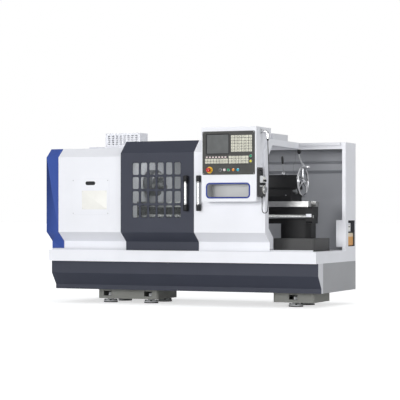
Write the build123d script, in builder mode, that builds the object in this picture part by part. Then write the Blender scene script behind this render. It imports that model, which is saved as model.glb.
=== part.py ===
from build123d import *
import os
from math import cos, hypot, pi, radians, sin, tan

# A flat-bed CNC lathe behind sheet-metal guards. Millimetres, +Z up, +X towards the tailstock,
# -Y towards the operator, floor at Z = 0.

# Fits and cuts
running_gap = 0.08
slide_gap = 0.2
guard_gap = 0.3
seat_gap = 0.5
overrun = 20.0
sheet = 3.0

# Chip tray
tray_length = 2700.0
tray_depth = 1129.0
tray_front_y = -425.0
tray_bottom_z = 403.0
tray_height = 106.0
tray_lip = 95.0
half_length = tray_length / 2
tray_top_z = tray_bottom_z + tray_height
tray_rear_y = tray_front_y + tray_depth

# Spindle line and bed
spindle_set_back = 500.0
spindle_z = 1148.0
centre_height = 184.0
bed_width = 290.0
bed_height = 204.0
bed_left_x = -1000.0
bed_right_x = 1148.0
way_width = 80.0
way_height = 50.0
bed_wall_inset = 25.0
bed_channel_depth = 134.0
leg_height = 135.0
leg_inset = 30.0
leg_corner = 60.0
spindle_y = tray_front_y + spindle_set_back
spindle_axis = Axis((0, spindle_y, spindle_z), (1, 0, 0))
spindle_plane = Plane(origin=(0, spindle_y, spindle_z), x_dir=(1, 0, 0), z_dir=(0, -1, 0))
bed_top_z = spindle_z - centre_height
bed_bottom_z = bed_top_z - bed_height
bed_front_y = spindle_y - bed_width / 2
bed_rear_y = spindle_y + bed_width / 2

# Pedestals and levelling feet
left_pedestal_x = -978.0
left_pedestal_length = 636.0
right_pedestal_x = 823.0
right_pedestal_length = 402.0
pedestal_overhang = 55.0
pedestal_wall = 22.0
pedestal_flange = 26.0
pedestal_flange_width = 110.0
pedestal_corner = 30.0
foot_height = 39.0
foot_radius = 68.0
foot_rim = 16.0
foot_neck_radius = 30.0
stud_radius = 12.0
stud_length = 62.0
nut_radius = 22.0
nut_height = 18.0
foot_set_in = 72.0
foot_end_inset = 102.0
foot_window_width = 84.0
foot_window_height = 46.0
pedestal_front_y = bed_front_y - pedestal_overhang
pedestal_rear_y = bed_rear_y + 2 * pedestal_overhang
pedestal_depth = pedestal_rear_y - pedestal_front_y
pedestal_top_z = bed_bottom_z - leg_height
left_pedestal_right_x = left_pedestal_x + left_pedestal_length
pedestals = ((left_pedestal_x, left_pedestal_length), (right_pedestal_x, right_pedestal_length))

# Base skirt
skirt_bottom_z = 133.0
skirt_set_back = 57.0
skirt_upper_height = 114.0
skirt_slant_height = 113.0
skirt_slant_depth = 84.0

# Guard profile, shared by both sliding doors
guard_lift = 1.5
guard_foot_set_back = 40.0
guard_front_set_out = 73.0
guard_foot_height = 83.0
guard_flare_height = 87.0
guard_bevel_rise = 265.0
guard_bevel_height = 113.0
guard_bevel_depth = 120.0
roof_fall = 6.0
guard_flange = 12.0
end_flange = 85.0
roof_flange = 56.0
left_door_x = -547.0
left_door_width = 744.0
right_door_width = 696.0
door_meeting_gap = 2.0
guard_foot_y = tray_front_y + guard_foot_set_back
guard_front_y = tray_front_y - guard_front_set_out
guard_bevel_y = guard_front_y + guard_bevel_depth
guard_bottom_z = tray_top_z + guard_lift
guard_foot_top_z = tray_top_z + guard_foot_height
guard_flare_top_z = guard_foot_top_z + guard_flare_height
guard_bevel_z = spindle_z + guard_bevel_rise
roof_front_z = guard_bevel_z + guard_bevel_height
roof_rear_z = roof_front_z - roof_fall
right_door_x = left_door_x + left_door_width + door_meeting_gap

# Rear enclosure
rear_set_back = 829.0
rear_beam_height = 62.0
roof_step = 1.0
roof_clearance = 3.0
post_width = 34.0
ledge_depth = 54.0
ledge_slope = 28.0
ledge_height = 58.0
ledge_drop = 166.0
rear_front_y = tray_front_y + rear_set_back
rear_top_z = roof_rear_z - roof_step
roof_rear_y = rear_front_y - roof_clearance

# Guard rails
front_rail_set_in = 10.0
front_rail_width = 8.0
front_rail_height = 14.0
rail_end_inset = 12.0
rear_rail_depth = 23.0
rear_rail_height = 26.0
rail_notch = 5.0
shoe_length = 70.0
shoe_wall = 6.0
shoe_height = 34.0
shoe_inset = 60.0
front_rail_y = guard_foot_y + front_rail_set_in
front_rail_top_z = tray_top_z + front_rail_height
rear_rail_y = rear_front_y - rear_rail_depth

# Door window: one pane behind rows of rounded openings
pane_columns = 6
pane_rows = 4
pane_width = 66.0
pane_height = 116.0
pane_corner = 16.0
pane_pitch_x = 85.2
pane_pitch_z = 131.5
window_inset = 368.0
window_drop = 79.0
glass_margin = 22.0
glass_thickness = 5.0
window_centre_x = left_door_x + window_inset
window_centre_z = spindle_z - window_drop

# Door handles
handle_drop = 273.0
handle_length = 324.0
handle_end_height = 62.0
handle_reach = 52.0
handle_tube_radius = 13.0
handle_end_width = 36.0
handle_inset_left = 68.0
handle_inset_right = 58.0
handle_bottom_z = spindle_z - handle_drop

# Headstock cover and left end cover
cover_set_back = 27.0
cover_foot_set_back = 28.0
cover_bevel_drop = 27.0
cover_bevel_height = 83.0
cover_bevel_depth = 97.0
cover_lap = 12.0
end_cover_length = 130.0
hatch_left = 277.0
hatch_width = 390.0
hatch_drop = 305.0
hatch_height = 333.0
hatch_corner = 8.0
latch_width = 97.0
latch_height = 30.0
latch_drop = 38.0
partition_hole_radius = 106.0
partition_bed_gap = 3.0
partition_front_margin = 75.0
hatch_bottom_z = spindle_z - hatch_drop
cover_front_y = guard_front_y + cover_set_back
cover_foot_y = guard_foot_y + cover_foot_set_back
cover_bevel_z = guard_bevel_z - cover_bevel_drop
cover_top_z = cover_bevel_z + cover_bevel_height
cover_bevel_y = cover_front_y + cover_bevel_depth
cover_left_x = -half_length + end_cover_length
cover_right_x = left_door_x + cover_lap

# Headstock, spindle and chuck
headstock_length = 425.0
headstock_rise = 192.0
headstock_wall = 34.0
headstock_end_wall = 60.0
headstock_chamfer = 70.0
spindle_radius = 45.0
spindle_bore = 26.0
spindle_tail = 135.0
nose_radius = 82.0
nose_length = 30.0
bearing_radius = 78.0
bearing_width = 44.0
chuck_clearance = 6.0
chuck_radius = 125.0
chuck_length = 100.0
chuck_edge = 6.0
jaw_count = 3
jaw_width = 34.0
jaw_slot_depth = 20.0
jaw_inner = 45.0
jaw_base_length = 67.0
jaw_step_lengths = (50.0, 27.0)
jaw_step_heights = (35.0, 33.0)
jaw_slot_inner = 28.0
jaw_first_angle = 75.0
headstock_left_x = bed_left_x
headstock_right_x = headstock_left_x + headstock_length
headstock_top_z = spindle_z + headstock_rise
chuck_back_x = cover_right_x + chuck_clearance
chuck_face_x = chuck_back_x + chuck_length

# Main drive
pulley_width = 70.0
pulley_set_out = 110.0
spindle_pulley_radius = 100.0
motor_pulley_radius = 65.0
pulley_flange = 9.0
pulley_flange_width = 5.0
belt_thickness = 8.0
motor_radius = 120.0
motor_length = 310.0
motor_flange_radius = 140.0
motor_flange_thickness = 18.0
motor_shaft_radius = 19.0
motor_shaft_depth = 40.0
motor_floor_gap = 60.0
motor_hole_radius = 60.0
motor_fin_count = 12
motor_fin_height = 10.0
motor_fin_width = 8.0
belt_hole_margin = 20.0
pulley_x = bed_left_x - pulley_set_out
motor_z = foot_height + pedestal_flange + motor_floor_gap + motor_flange_radius
motor_axis = Axis((0, spindle_y, motor_z), (1, 0, 0))
motor_plane = Plane(origin=(0, spindle_y, motor_z), x_dir=(1, 0, 0), z_dir=(0, -1, 0))

# Ball screw along the bed
screw_radius = 20.0
screw_journal_radius = 15.0
screw_set_out = 30.0
screw_drop = 140.0
screw_left_x = -640.0
bracket_length = 60.0
bracket_height = 110.0
bracket_front = 38.0
screw_y = bed_front_y - screw_set_out
screw_z = bed_top_z - screw_drop
screw_axis = Axis((0, screw_y, screw_z), (1, 0, 0))
screw_plane = Plane(origin=(0, screw_y, screw_z), x_dir=(1, 0, 0), z_dir=(0, -1, 0))

# Carriage
saddle_x = -80.0
saddle_length = 280.0
saddle_height = 66.0
saddle_overhang = 40.0
apron_drop = 180.0
apron_thickness = 65.0
dovetail_base_width = 90.0
dovetail_top_width = 120.0
dovetail_height = 22.0
cross_slide_width = 180.0
cross_slide_length = 400.0
cross_slide_height = 45.0
cross_slide_front = 280.0
turret_width = 150.0
turret_height = 83.0
turret_seat_radius = 70.0
turret_seat_height = 12.0
turret_cap_radius = 27.0
turret_cap_height = 22.0
turret_set_back = 190.0
turret_corner = 14.0
tool_width = 25.0
tool_count = 4
tool_reach = 45.0
saddle_top_z = bed_top_z + slide_gap + saddle_height
saddle_centre_x = saddle_x + saddle_length / 2
cross_slide_z = saddle_top_z + slide_gap
cross_slide_top_z = cross_slide_z + dovetail_height + cross_slide_height
turret_y = spindle_y - turret_set_back

# Tailstock
tailstock_x = 690.0
tailstock_base_length = 290.0
tailstock_base_height = 110.0
tailstock_base_width = 230.0
tailstock_foot_width = 290.0
tailstock_foot_height = 46.0
tailstock_body_inset = 25.0
tailstock_body_length = 290.0
tailstock_barrel_radius = 64.0
tailstock_body_width = 200.0
tailstock_body_foot = 20.0
quill_radius = 32.0
quill_reach = 30.0
quill_depth = 210.0
centre_reach = 62.0
centre_radius = 20.0
centre_half_angle = 30.0
wheel_set_out = 40.0
wheel_radius = 145.0
wheel_rim_radius = 11.0
rim_sides = 10
wheel_hub_radius = 27.0
wheel_hub_length = 46.0
wheel_shaft_radius = 16.0
wheel_collar_radius = 34.0
wheel_collar_length = 16.0
spoke_count = 3
spoke_radius = 8.0
crank_length = 70.0
crank_radius = 13.0
lever_inset = 140.0
lever_boss_radius = 18.0
lever_boss_height = 22.0
lever_pin_radius = 11.0
lever_pin_depth = 24.0
lever_arm_radius = 7.0
lever_length = 165.0
lever_grip_radius = 13.0
lever_grip_length = 70.0
lever_lean = 14.0
tailstock_base_top_z = bed_top_z + slide_gap + tailstock_base_height
tailstock_body_x = tailstock_x + tailstock_body_inset
tailstock_end_x = tailstock_body_x + tailstock_body_length

# Control box on the right door
box_inset = 144.0
box_width = 529.0
box_drop = 189.0
box_height = 667.0
box_set_out = 157.0
box_top_depth = 203.0
box_wall = 3.0
box_left_x = right_door_x + box_inset
box_right_x = box_left_x + box_width
box_front_y = guard_front_y - box_set_out
box_bottom_z = spindle_z - box_drop
box_top_z = box_bottom_z + box_height
box_rear_y = guard_front_y + box_top_depth

# Control panel and what sits in it
panel_side_margin = 11.0
panel_width = 505.0
panel_height = 388.0
panel_top_margin = 39.0
panel_thickness = 4.0
panel_corner = 10.0
panel_backing = 8.0
screen_left = 42.0
screen_top = 30.0
screen_width = 211.0
screen_height = 168.0
screen_lip = 4.0
key_height = 2.5
key_gap = 2.0
keypad_left = 276.0
keypad_top = 36.0
keypad_columns = 6
keypad_rows = 6
keypad_pitch_x = 34.0
keypad_pitch_z = 25.0
soft_key_left = 28.0
soft_key_top = 218.0
soft_key_count = 7
soft_key_pitch_x = 30.0
soft_key_pitch_z = 26.0
soft_key_gap = 13.0
mode_key_left = 24.0
mode_key_top = 243.0
mode_key_columns = 8
mode_key_rows = 2
mode_key_pitch_x = 28.0
mode_key_pitch_z = 23.0
jog_key_left = 254.0
jog_key_top = 220.0
jog_key_columns = 6
jog_key_rows = 3
jog_key_pitch_x = 32.0
jog_key_pitch_z = 23.5
button_line = 345.0
estop_place = 70.0
estop_head_radius = 20.0
estop_head_height = 15.0
estop_stem_radius = 11.0
estop_stand = 30.0
estop_ring_radius = 30.0
estop_ring_height = 4.0
button_radius = 11.0
button_stand = 9.0
button_flange = 3.0
button_flange_thickness = 4.0
button_edge = 1.5
button_place_shares = {"key_switch": 0.347, "button_white": 0.424, "button_green": 0.501}
lamp_place_shares = (0.596, 0.683)
lamp_radius = 10.0
lamp_height = 6.0
side_button_inset = 38.0
side_button_lines = (224.0, 270.0)
key_bar_width = 6.0
panel_left_x = box_left_x + panel_side_margin
panel_top_z = box_top_z - panel_top_margin
panel_face_y = box_front_y - panel_thickness

# Pocket below the panel
pocket_side_margin = 56.0
pocket_width = 402.0
pocket_height = 116.0
pocket_lift = 40.0
pocket_depth = 110.0
pocket_corner = 24.0
pocket_rim = 12.0
pocket_rim_stand = 4.0
pocket_centre_x = box_left_x + pocket_side_margin + pocket_width / 2
pocket_centre_z = box_bottom_z + pocket_lift + pocket_height / 2

# Cable duct on the right roof
duct_width = 250.0
duct_height = 53.0
duct_length = 375.0

# Hand-wheel pendant, its holder, elbow conduit and cable
holder_front_margin = 17.0
holder_width = 138.0
holder_lift = 41.0
holder_height = 262.0
holder_thickness = 4.0
pendant_width = 80.0
pendant_length = 186.0
pendant_thickness = 46.0
pendant_lift = 2.0
pendant_margin = 12.0
pendant_corner = 12.0
dial_radius = 29.0
dial_height = 17.0
dial_lift = 62.0
dial_spigot = 8.0
dial_spigot_depth = 10.0
knob_radius = 10.0
knob_height = 12.0
knob_lift = 142.0
knob_spread = 36.0
elbow_radius = 15.0
elbow_reach = 36.0
elbow_bend = 30.0
elbow_drop = 40.0
elbow_flange_radius = 24.0
elbow_flange_thickness = 6.0
elbow_set_back = 110.0
elbow_top_margin = 41.0
cable_radius = 3.5
cable_loop_drop = 98.0
cable_bow = 8.0
cable_lead = 20.0
cable_runs = 10
cable_bend_share = 0.45
cable_loop_angles = (22.5, 67.5, 112.5, 157.5)
gland_radius = 8.0
gland_height = 16.0
holder_bottom_z = box_bottom_z + holder_lift
pendant_bottom_z = holder_bottom_z + pendant_lift
pendant_front_y = box_front_y + holder_front_margin + pendant_margin
pendant_centre_y = pendant_front_y + pendant_width / 2
pendant_back_x = box_right_x + holder_thickness
pendant_face_x = pendant_back_x + pendant_thickness
elbow_z = box_top_z - elbow_top_margin
cable_bottom_z = box_bottom_z - cable_loop_drop
elbow_y = box_front_y + elbow_set_back
elbow_x = box_right_x + elbow_reach + elbow_bend
cable_top_z = elbow_z - elbow_bend - elbow_drop - gland_height
cable_end_z = pendant_bottom_z - gland_height
cable_end_x = pendant_back_x + pendant_thickness / 2

# Electrical cabinet and the resistor box on it
cabinet_length = 930.0
cabinet_wall = 2.0
cabinet_door_thickness = 18.0
cabinet_door_wall = 2.0
hinge_radius = 7.0
resistor_left = 160.0
resistor_length = 385.0
resistor_depth = 175.0
resistor_height = 136.0
resistor_set_back = 42.0
vent_columns = 8
vent_rows = 5
vent_pitch_x = 43.0
vent_pitch_z = 20.0
vent_width = 26.0
vent_height = 9.0
cabinet_front_y = rear_front_y
cabinet_right_x = -half_length + cabinet_length
cabinet_rear_y = tray_rear_y - cabinet_door_thickness

# Right end wall and lubricator
niche_depth = 95.0
niche_lift = 32.0
niche_height = 250.0
niche_width = 281.0
cutout_set_back = 77.0
cutout_width = 193.0
lubricator_margin = 10.0
tank_height = 132.0
pump_height = 88.0
tank_corner = 16.0
lubricator_lift = 4.0
niche_x = half_length - niche_depth
niche_bottom_z = tray_top_z + niche_lift


def outline(plane, points):
    """A flat face on a plane, bounded by straight lines through the points."""
    with BuildSketch(plane) as face:
        with BuildLine():
            Polyline(*points, close=True)
        make_face()
    return face.sketch


def rounded(plane, width, height, corner, centre=(0, 0)):
    """A rectangle with round corners on a plane."""
    with BuildSketch(plane) as face:
        with Locations(centre):
            RectangleRounded(width, height, corner)
    return face.sketch


def block(x, y, z, mode=Mode.ADD):
    """A box between two limits along each axis, in the part being built."""
    with Locations(((x[0] + x[1]) / 2, (y[0] + y[1]) / 2, (z[0] + z[1]) / 2)):
        Box(x[1] - x[0], y[1] - y[0], z[1] - z[0], mode=mode)


def folded(points, depths):
    """Closed outline of a folded sheet: its outer face follows the points, its depth lies to the right."""
    normals = []
    for (a, b) in zip(points, points[1:]):
        length = hypot(b[0] - a[0], b[1] - a[1])
        normals.append(((b[1] - a[1]) / length, -(b[0] - a[0]) / length))
    first, last = normals[0], normals[-1]
    inner = [(points[0][0] + first[0] * depths[0], points[0][1] + first[1] * depths[0])]
    for place, m, n, p, q in zip(points[1:], normals, normals[1:], depths, depths[1:]):
        spread = m[0] * n[1] - m[1] * n[0]
        inner.append((place[0] + (p * n[1] - q * m[1]) / spread, place[1] + (q * m[0] - p * n[0]) / spread))
    inner.append((points[-1][0] + last[0] * depths[-1], points[-1][1] + last[1] * depths[-1]))
    return list(points) + inner[::-1]


def save(piece, name):
    """Label a finished piece and write it."""
    piece.label = name
    export_step(piece, "parts/" + name + ".step")


os.makedirs("parts", exist_ok=True)

# A round bar stands on its place or hangs from it
upright = (Align.CENTER, Align.CENTER, Align.MIN)
hanging = (Align.CENTER, Align.CENTER, Align.MAX)


# Cast pedestals
def pedestal(left_x, length, foot_places, shaft_hole):
    centre = (left_x + length / 2, (pedestal_front_y + pedestal_rear_y) / 2)
    height = pedestal_top_z - foot_height
    floor_z = foot_height + pedestal_flange
    with BuildPart() as casting:
        outer = rounded(Plane.XY.offset(foot_height), length, pedestal_depth, pedestal_corner, centre)
        extrude(outer, height)
        inner = (length - 2 * pedestal_wall, pedestal_depth - 2 * pedestal_wall)
        hollow = rounded(Plane.XY.offset(floor_z), *inner, pedestal_corner - pedestal_wall / 2, centre)
        extrude(hollow, height - pedestal_flange - pedestal_wall, mode=Mode.SUBTRACT)
        opening = (length - 2 * pedestal_flange_width, pedestal_depth - 2 * pedestal_flange_width)
        extrude(rounded(Plane.XY.offset(foot_height), *opening, pedestal_corner, centre),
                pedestal_flange, mode=Mode.SUBTRACT)
        for x in sorted({place[0] for place in foot_places}):
            block((x - foot_window_width / 2, x + foot_window_width / 2),
                  (pedestal_front_y - overrun, pedestal_rear_y + overrun),
                  (floor_z, floor_z + foot_window_height), Mode.SUBTRACT)
        with Locations(*[(x, y, foot_height + pedestal_flange / 2) for x, y in foot_places]):
            Cylinder(stud_radius + seat_gap, pedestal_flange, mode=Mode.SUBTRACT)
        if shaft_hole:
            with BuildSketch(Plane.YZ.offset(left_x)):
                with Locations((spindle_y, motor_z)):
                    Circle(motor_hole_radius)
            extrude(amount=pedestal_wall, mode=Mode.SUBTRACT)
    return casting.part


foot_rows = (pedestal_front_y + foot_set_in, pedestal_rear_y - foot_set_in)
left_foot_columns = (left_pedestal_x + foot_end_inset, left_pedestal_right_x - foot_end_inset)
left_feet = [(x, y) for x in left_foot_columns for y in foot_rows]
right_feet = [(right_pedestal_x + right_pedestal_length / 2, y) for y in foot_rows]
save(pedestal(left_pedestal_x, left_pedestal_length, left_feet, True), "left_pedestal")
save(pedestal(right_pedestal_x, right_pedestal_length, right_feet, False), "right_pedestal")

# Levelling feet: a round pad, a neck under the flange, a stud through it and its nut
nut_bottom_z = foot_height + pedestal_flange
foot_half = [(0, 0), (foot_radius, 0), (foot_radius, foot_rim), (foot_neck_radius, foot_height),
             (stud_radius, foot_height), (stud_radius, nut_bottom_z), (nut_radius, nut_bottom_z),
             (nut_radius, nut_bottom_z + nut_height), (stud_radius, nut_bottom_z + nut_height),
             (stud_radius, foot_height + stud_length), (0, foot_height + stud_length)]
with BuildPart() as levelling_feet:
    for x, y in left_feet + right_feet:
        foot_plane = Plane(origin=(x, y, 0), x_dir=(1, 0, 0), z_dir=(0, -1, 0))
        revolve(outline(foot_plane, foot_half), axis=Axis((x, y, 0), (0, 0, 1)))
save(levelling_feet.part, "levelling_feet")

# Chip tray: a folded pan with a lip, open round the pedestals and the drive belt
with BuildPart() as chip_tray:
    tray_y = (tray_front_y, tray_rear_y)
    block((-half_length, half_length), tray_y, (tray_bottom_z, tray_top_z))
    block((sheet - half_length, half_length - sheet), (tray_front_y + sheet, tray_rear_y - sheet),
          (tray_bottom_z + sheet, tray_top_z - sheet), Mode.SUBTRACT)
    block((tray_lip - half_length, half_length - tray_lip), (tray_front_y + tray_lip, tray_rear_y - tray_lip),
          (tray_top_z - sheet, tray_top_z), Mode.SUBTRACT)
    pedestal_y = (pedestal_front_y - seat_gap, pedestal_rear_y + seat_gap)
    floor_z = (tray_bottom_z, tray_bottom_z + sheet)
    for left_x, length in pedestals:
        block((left_x - seat_gap, left_x + length + seat_gap), pedestal_y, floor_z, Mode.SUBTRACT)
    belt_reach = spindle_pulley_radius + belt_thickness + belt_hole_margin
    block((pulley_x - belt_hole_margin, pulley_x + pulley_width + belt_hole_margin),
          (spindle_y - belt_reach, spindle_y + belt_reach), floor_z, Mode.SUBTRACT)
save(chip_tray.part, "chip_tray")

# Front skirt: one folded sheet that slants in above the floor
skirt_y = tray_front_y + skirt_set_back
skirt_low_y = skirt_y + skirt_slant_depth
skirt_fold_z = tray_bottom_z - skirt_upper_height
skirt_line = [(skirt_low_y, skirt_bottom_z), (skirt_low_y, skirt_fold_z - skirt_slant_height),
              (skirt_y, skirt_fold_z), (skirt_y, tray_bottom_z)]
with BuildPart() as front_skirt:
    skirt_section = outline(Plane.YZ.offset(-half_length), folded(skirt_line, [sheet] * len(skirt_line[1:])))
    extrude(skirt_section, tray_length)
save(front_skirt.part, "front_skirt")

# Base panels: two end panels cut to the skirt's profile, and one along the back
with BuildPart() as base_panels:
    skirt_inner = folded(skirt_line, [sheet] * len(skirt_line[1:]))[len(skirt_line):]
    end_panel = [(tray_rear_y, tray_bottom_z), (tray_rear_y, skirt_bottom_z)] + skirt_inner[::-1]
    extrude(outline(Plane.YZ.offset(-half_length), end_panel), sheet)
    extrude(outline(Plane.YZ.offset(half_length - sheet), end_panel), sheet)
    block((sheet - half_length, half_length - sheet), (tray_rear_y - sheet, tray_rear_y),
          (skirt_bottom_z, tray_bottom_z))
save(base_panels.part, "base_panels")

# Bed: a channel casting with two ground box ways, on two legs
channel_half = bed_width / 2 - way_width
bed_half = [(0, bed_bottom_z), (bed_width / 2 - bed_wall_inset, bed_bottom_z),
            (bed_width / 2 - bed_wall_inset, bed_top_z - way_height), (bed_width / 2, bed_top_z - way_height),
            (bed_width / 2, bed_top_z), (channel_half, bed_top_z),
            (channel_half, bed_top_z - bed_channel_depth), (0, bed_top_z - bed_channel_depth)]
with BuildPart() as bed:
    bed_rear_side = [(spindle_y + y, z) for y, z in bed_half]
    bed_front_side = [(spindle_y - y, z) for y, z in bed_half[-2:0:-1]]
    bed_section = outline(Plane.YZ.offset(bed_left_x), bed_rear_side + bed_front_side)
    extrude(bed_section, bed_right_x - bed_left_x)
    leg_plane = Plane.XY.offset(pedestal_top_z)
    for left_x, length in pedestals:
        leg_right_x = min(left_x + length - leg_inset, bed_right_x)
        leg_left_x = left_x + leg_inset
        leg_size = (leg_right_x - leg_left_x, bed_width - 2 * leg_inset)
        leg_centre = ((leg_left_x + leg_right_x) / 2, spindle_y)
        extrude(rounded(leg_plane, *leg_size, leg_corner, leg_centre), leg_height)
save(bed.part, "bed")

# Headstock casting, open below, with a bearing wall at each end
headstock_half = bed_width / 2
headstock_outline = [(-headstock_half, bed_top_z), (headstock_half, bed_top_z),
                     (headstock_half, headstock_top_z - headstock_chamfer),
                     (headstock_half - headstock_chamfer, headstock_top_z),
                     (headstock_chamfer - headstock_half, headstock_top_z),
                     (-headstock_half, headstock_top_z - headstock_chamfer)]
with BuildPart() as headstock:
    headstock_points = [(spindle_y + y, z) for y, z in headstock_outline]
    extrude(outline(Plane.YZ.offset(headstock_left_x), headstock_points), headstock_length)
    cavity = (headstock_half - headstock_wall, headstock_top_z - headstock_wall)
    block((headstock_left_x + headstock_end_wall, headstock_right_x - headstock_end_wall),
          (spindle_y - cavity[0], spindle_y + cavity[0]), (bed_top_z, headstock_top_z - headstock_chamfer),
          Mode.SUBTRACT)
    with BuildSketch(Plane.YZ.offset(headstock_left_x)):
        with Locations((spindle_y, spindle_z)):
            Circle(bearing_radius)
    extrude(amount=headstock_length, mode=Mode.SUBTRACT)
save(headstock.part, "headstock")

# Spindle bearings: one ring in each end wall
with BuildPart() as spindle_bearings:
    wall_spare = (headstock_end_wall - bearing_width) / 2
    for left_x in (headstock_left_x + wall_spare, headstock_right_x - wall_spare - bearing_width):
        with BuildSketch(Plane.YZ.offset(left_x)):
            with Locations((spindle_y, spindle_z)):
                Circle(bearing_radius)
                Circle(spindle_radius + running_gap, mode=Mode.SUBTRACT)
        extrude(amount=bearing_width)
save(spindle_bearings.part, "spindle_bearings")

# Spindle: hollow shaft with a nose flange for the chuck
with BuildPart() as spindle:
    spindle_left_x = headstock_left_x - spindle_tail
    nose_x = chuck_back_x - nose_length
    spindle_half = [(spindle_left_x, spindle_bore), (spindle_left_x, spindle_radius),
                    (nose_x, spindle_radius), (nose_x, nose_radius),
                    (chuck_back_x, nose_radius), (chuck_back_x, spindle_bore)]
    revolve(outline(spindle_plane, spindle_half), axis=spindle_axis)
save(spindle.part, "spindle")


# Jaw directions round the spindle axis
def jaw_plane(number):
    angle = radians(jaw_first_angle + number * 360 / jaw_count)
    return Plane(origin=(0, spindle_y, spindle_z), x_dir=(1, 0, 0), z_dir=(0, -sin(angle), cos(angle)))


# Chuck body with three radial slots
slot_floor_x = chuck_face_x - jaw_slot_depth
with BuildPart() as chuck_body:
    chuck_half = [(chuck_back_x, spindle_bore), (chuck_back_x, chuck_radius - chuck_edge),
                  (chuck_back_x + chuck_edge, chuck_radius), (chuck_face_x - chuck_edge, chuck_radius),
                  (chuck_face_x, chuck_radius - chuck_edge), (chuck_face_x, spindle_bore)]
    revolve(outline(spindle_plane, chuck_half), axis=spindle_axis)
    for number in range(jaw_count):
        slot = [(slot_floor_x, jaw_slot_inner), (chuck_face_x + overrun, jaw_slot_inner),
                (chuck_face_x + overrun, chuck_radius + overrun), (slot_floor_x, chuck_radius + overrun)]
        extrude(outline(jaw_plane(number), slot), jaw_width / 2 + slide_gap, both=True, mode=Mode.SUBTRACT)
save(chuck_body.part, "chuck_body")

# Stepped chuck jaws
jaw_back_x = slot_floor_x + slide_gap
first_step_x = chuck_face_x + jaw_step_heights[0]
second_step_x = first_step_x + jaw_step_heights[1]
jaw_reach = [jaw_inner + length for length in jaw_step_lengths]
jaw_outer = jaw_inner + jaw_base_length
jaw_outline = [(jaw_back_x, jaw_inner), (second_step_x, jaw_inner), (second_step_x, jaw_reach[1]),
               (first_step_x, jaw_reach[1]), (first_step_x, jaw_reach[0]), (chuck_face_x, jaw_reach[0]),
               (chuck_face_x, jaw_outer), (jaw_back_x, jaw_outer)]
for number in range(jaw_count):
    with BuildPart() as jaw:
        extrude(outline(jaw_plane(number), jaw_outline), jaw_width / 2, both=True)
    save(jaw.part, f"chuck_jaw_{number + 1}")


# Belt pulleys with side flanges, on the spindle's tail and on the motor shaft
def pulley_outline(radius, bore):
    left, right = pulley_x, pulley_x + pulley_width
    groove_left, groove_right = left + pulley_flange_width, right - pulley_flange_width
    rim = radius + pulley_flange
    return [(left, bore), (left, rim), (groove_left, rim), (groove_left, radius), (groove_right, radius),
            (groove_right, rim), (right, rim), (right, bore)]


with BuildPart() as spindle_pulley:
    revolve(outline(spindle_plane, pulley_outline(spindle_pulley_radius, spindle_radius)), axis=spindle_axis)
save(spindle_pulley.part, "spindle_pulley")

motor_front_x = left_pedestal_x + pedestal_wall
with BuildPart() as motor_pulley:
    revolve(outline(motor_plane, pulley_outline(motor_pulley_radius, 0)), axis=motor_axis)
    shaft = [(pulley_x + pulley_width / 2, 0), (pulley_x + pulley_width / 2, motor_shaft_radius),
             (motor_front_x + motor_shaft_depth, motor_shaft_radius), (motor_front_x + motor_shaft_depth, 0)]
    revolve(outline(motor_plane, shaft), axis=motor_axis)
save(motor_pulley.part, "motor_pulley")

# Drive belt: a closed loop round both pulleys
with BuildPart() as drive_belt:
    belt_width = pulley_width - 2 * pulley_flange_width - 2 * guard_gap
    for growth, mode in ((guard_gap + belt_thickness, Mode.ADD), (guard_gap, Mode.SUBTRACT)):
        with BuildSketch(Plane.YZ.offset(pulley_x + pulley_flange_width + guard_gap)) as loop:
            with Locations((spindle_y, spindle_z)):
                Circle(spindle_pulley_radius + growth)
            with Locations((spindle_y, motor_z)):
                Circle(motor_pulley_radius + growth)
            make_hull()
        extrude(amount=belt_width, mode=mode)
save(drive_belt.part, "drive_belt")

# Main motor, bolted by its flange inside the left pedestal
with BuildPart() as main_motor:
    flange_x = motor_front_x + motor_flange_thickness
    shaft_end_x = motor_front_x + motor_shaft_depth + seat_gap
    bore = motor_shaft_radius + running_gap
    motor_end_x = motor_front_x + motor_length
    motor_half = [(motor_front_x, bore), (motor_front_x, motor_flange_radius),
                  (flange_x, motor_flange_radius), (flange_x, motor_radius), (motor_end_x, motor_radius),
                  (motor_end_x, 0), (shaft_end_x, 0), (shaft_end_x, bore)]
    revolve(outline(motor_plane, motor_half), axis=motor_axis)
    with BuildSketch(Plane.YZ.offset(flange_x)):
        with Locations((spindle_y, motor_z)):
            with PolarLocations(motor_radius, motor_fin_count):
                Rectangle(2 * motor_fin_height, motor_fin_width)
    extrude(amount=motor_length - 2 * motor_flange_thickness)
save(main_motor.part, "main_motor")

# Ball screw with a turned journal at each end, and its two bracket bearings on the bed
screw_brackets_x = (screw_left_x, bed_right_x)
with BuildPart() as z_ball_screw:
    screw_end_x = bed_right_x + bracket_length
    thread_left_x = screw_left_x + bracket_length + slide_gap
    thread_right_x = bed_right_x - slide_gap
    screw_half = [(screw_left_x, 0), (screw_left_x, screw_journal_radius),
                  (thread_left_x, screw_journal_radius), (thread_left_x, screw_radius),
                  (thread_right_x, screw_radius), (thread_right_x, screw_journal_radius),
                  (screw_end_x, screw_journal_radius), (screw_end_x, 0)]
    revolve(outline(screw_plane, screw_half), axis=screw_axis)
save(z_ball_screw.part, "z_ball_screw")

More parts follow.
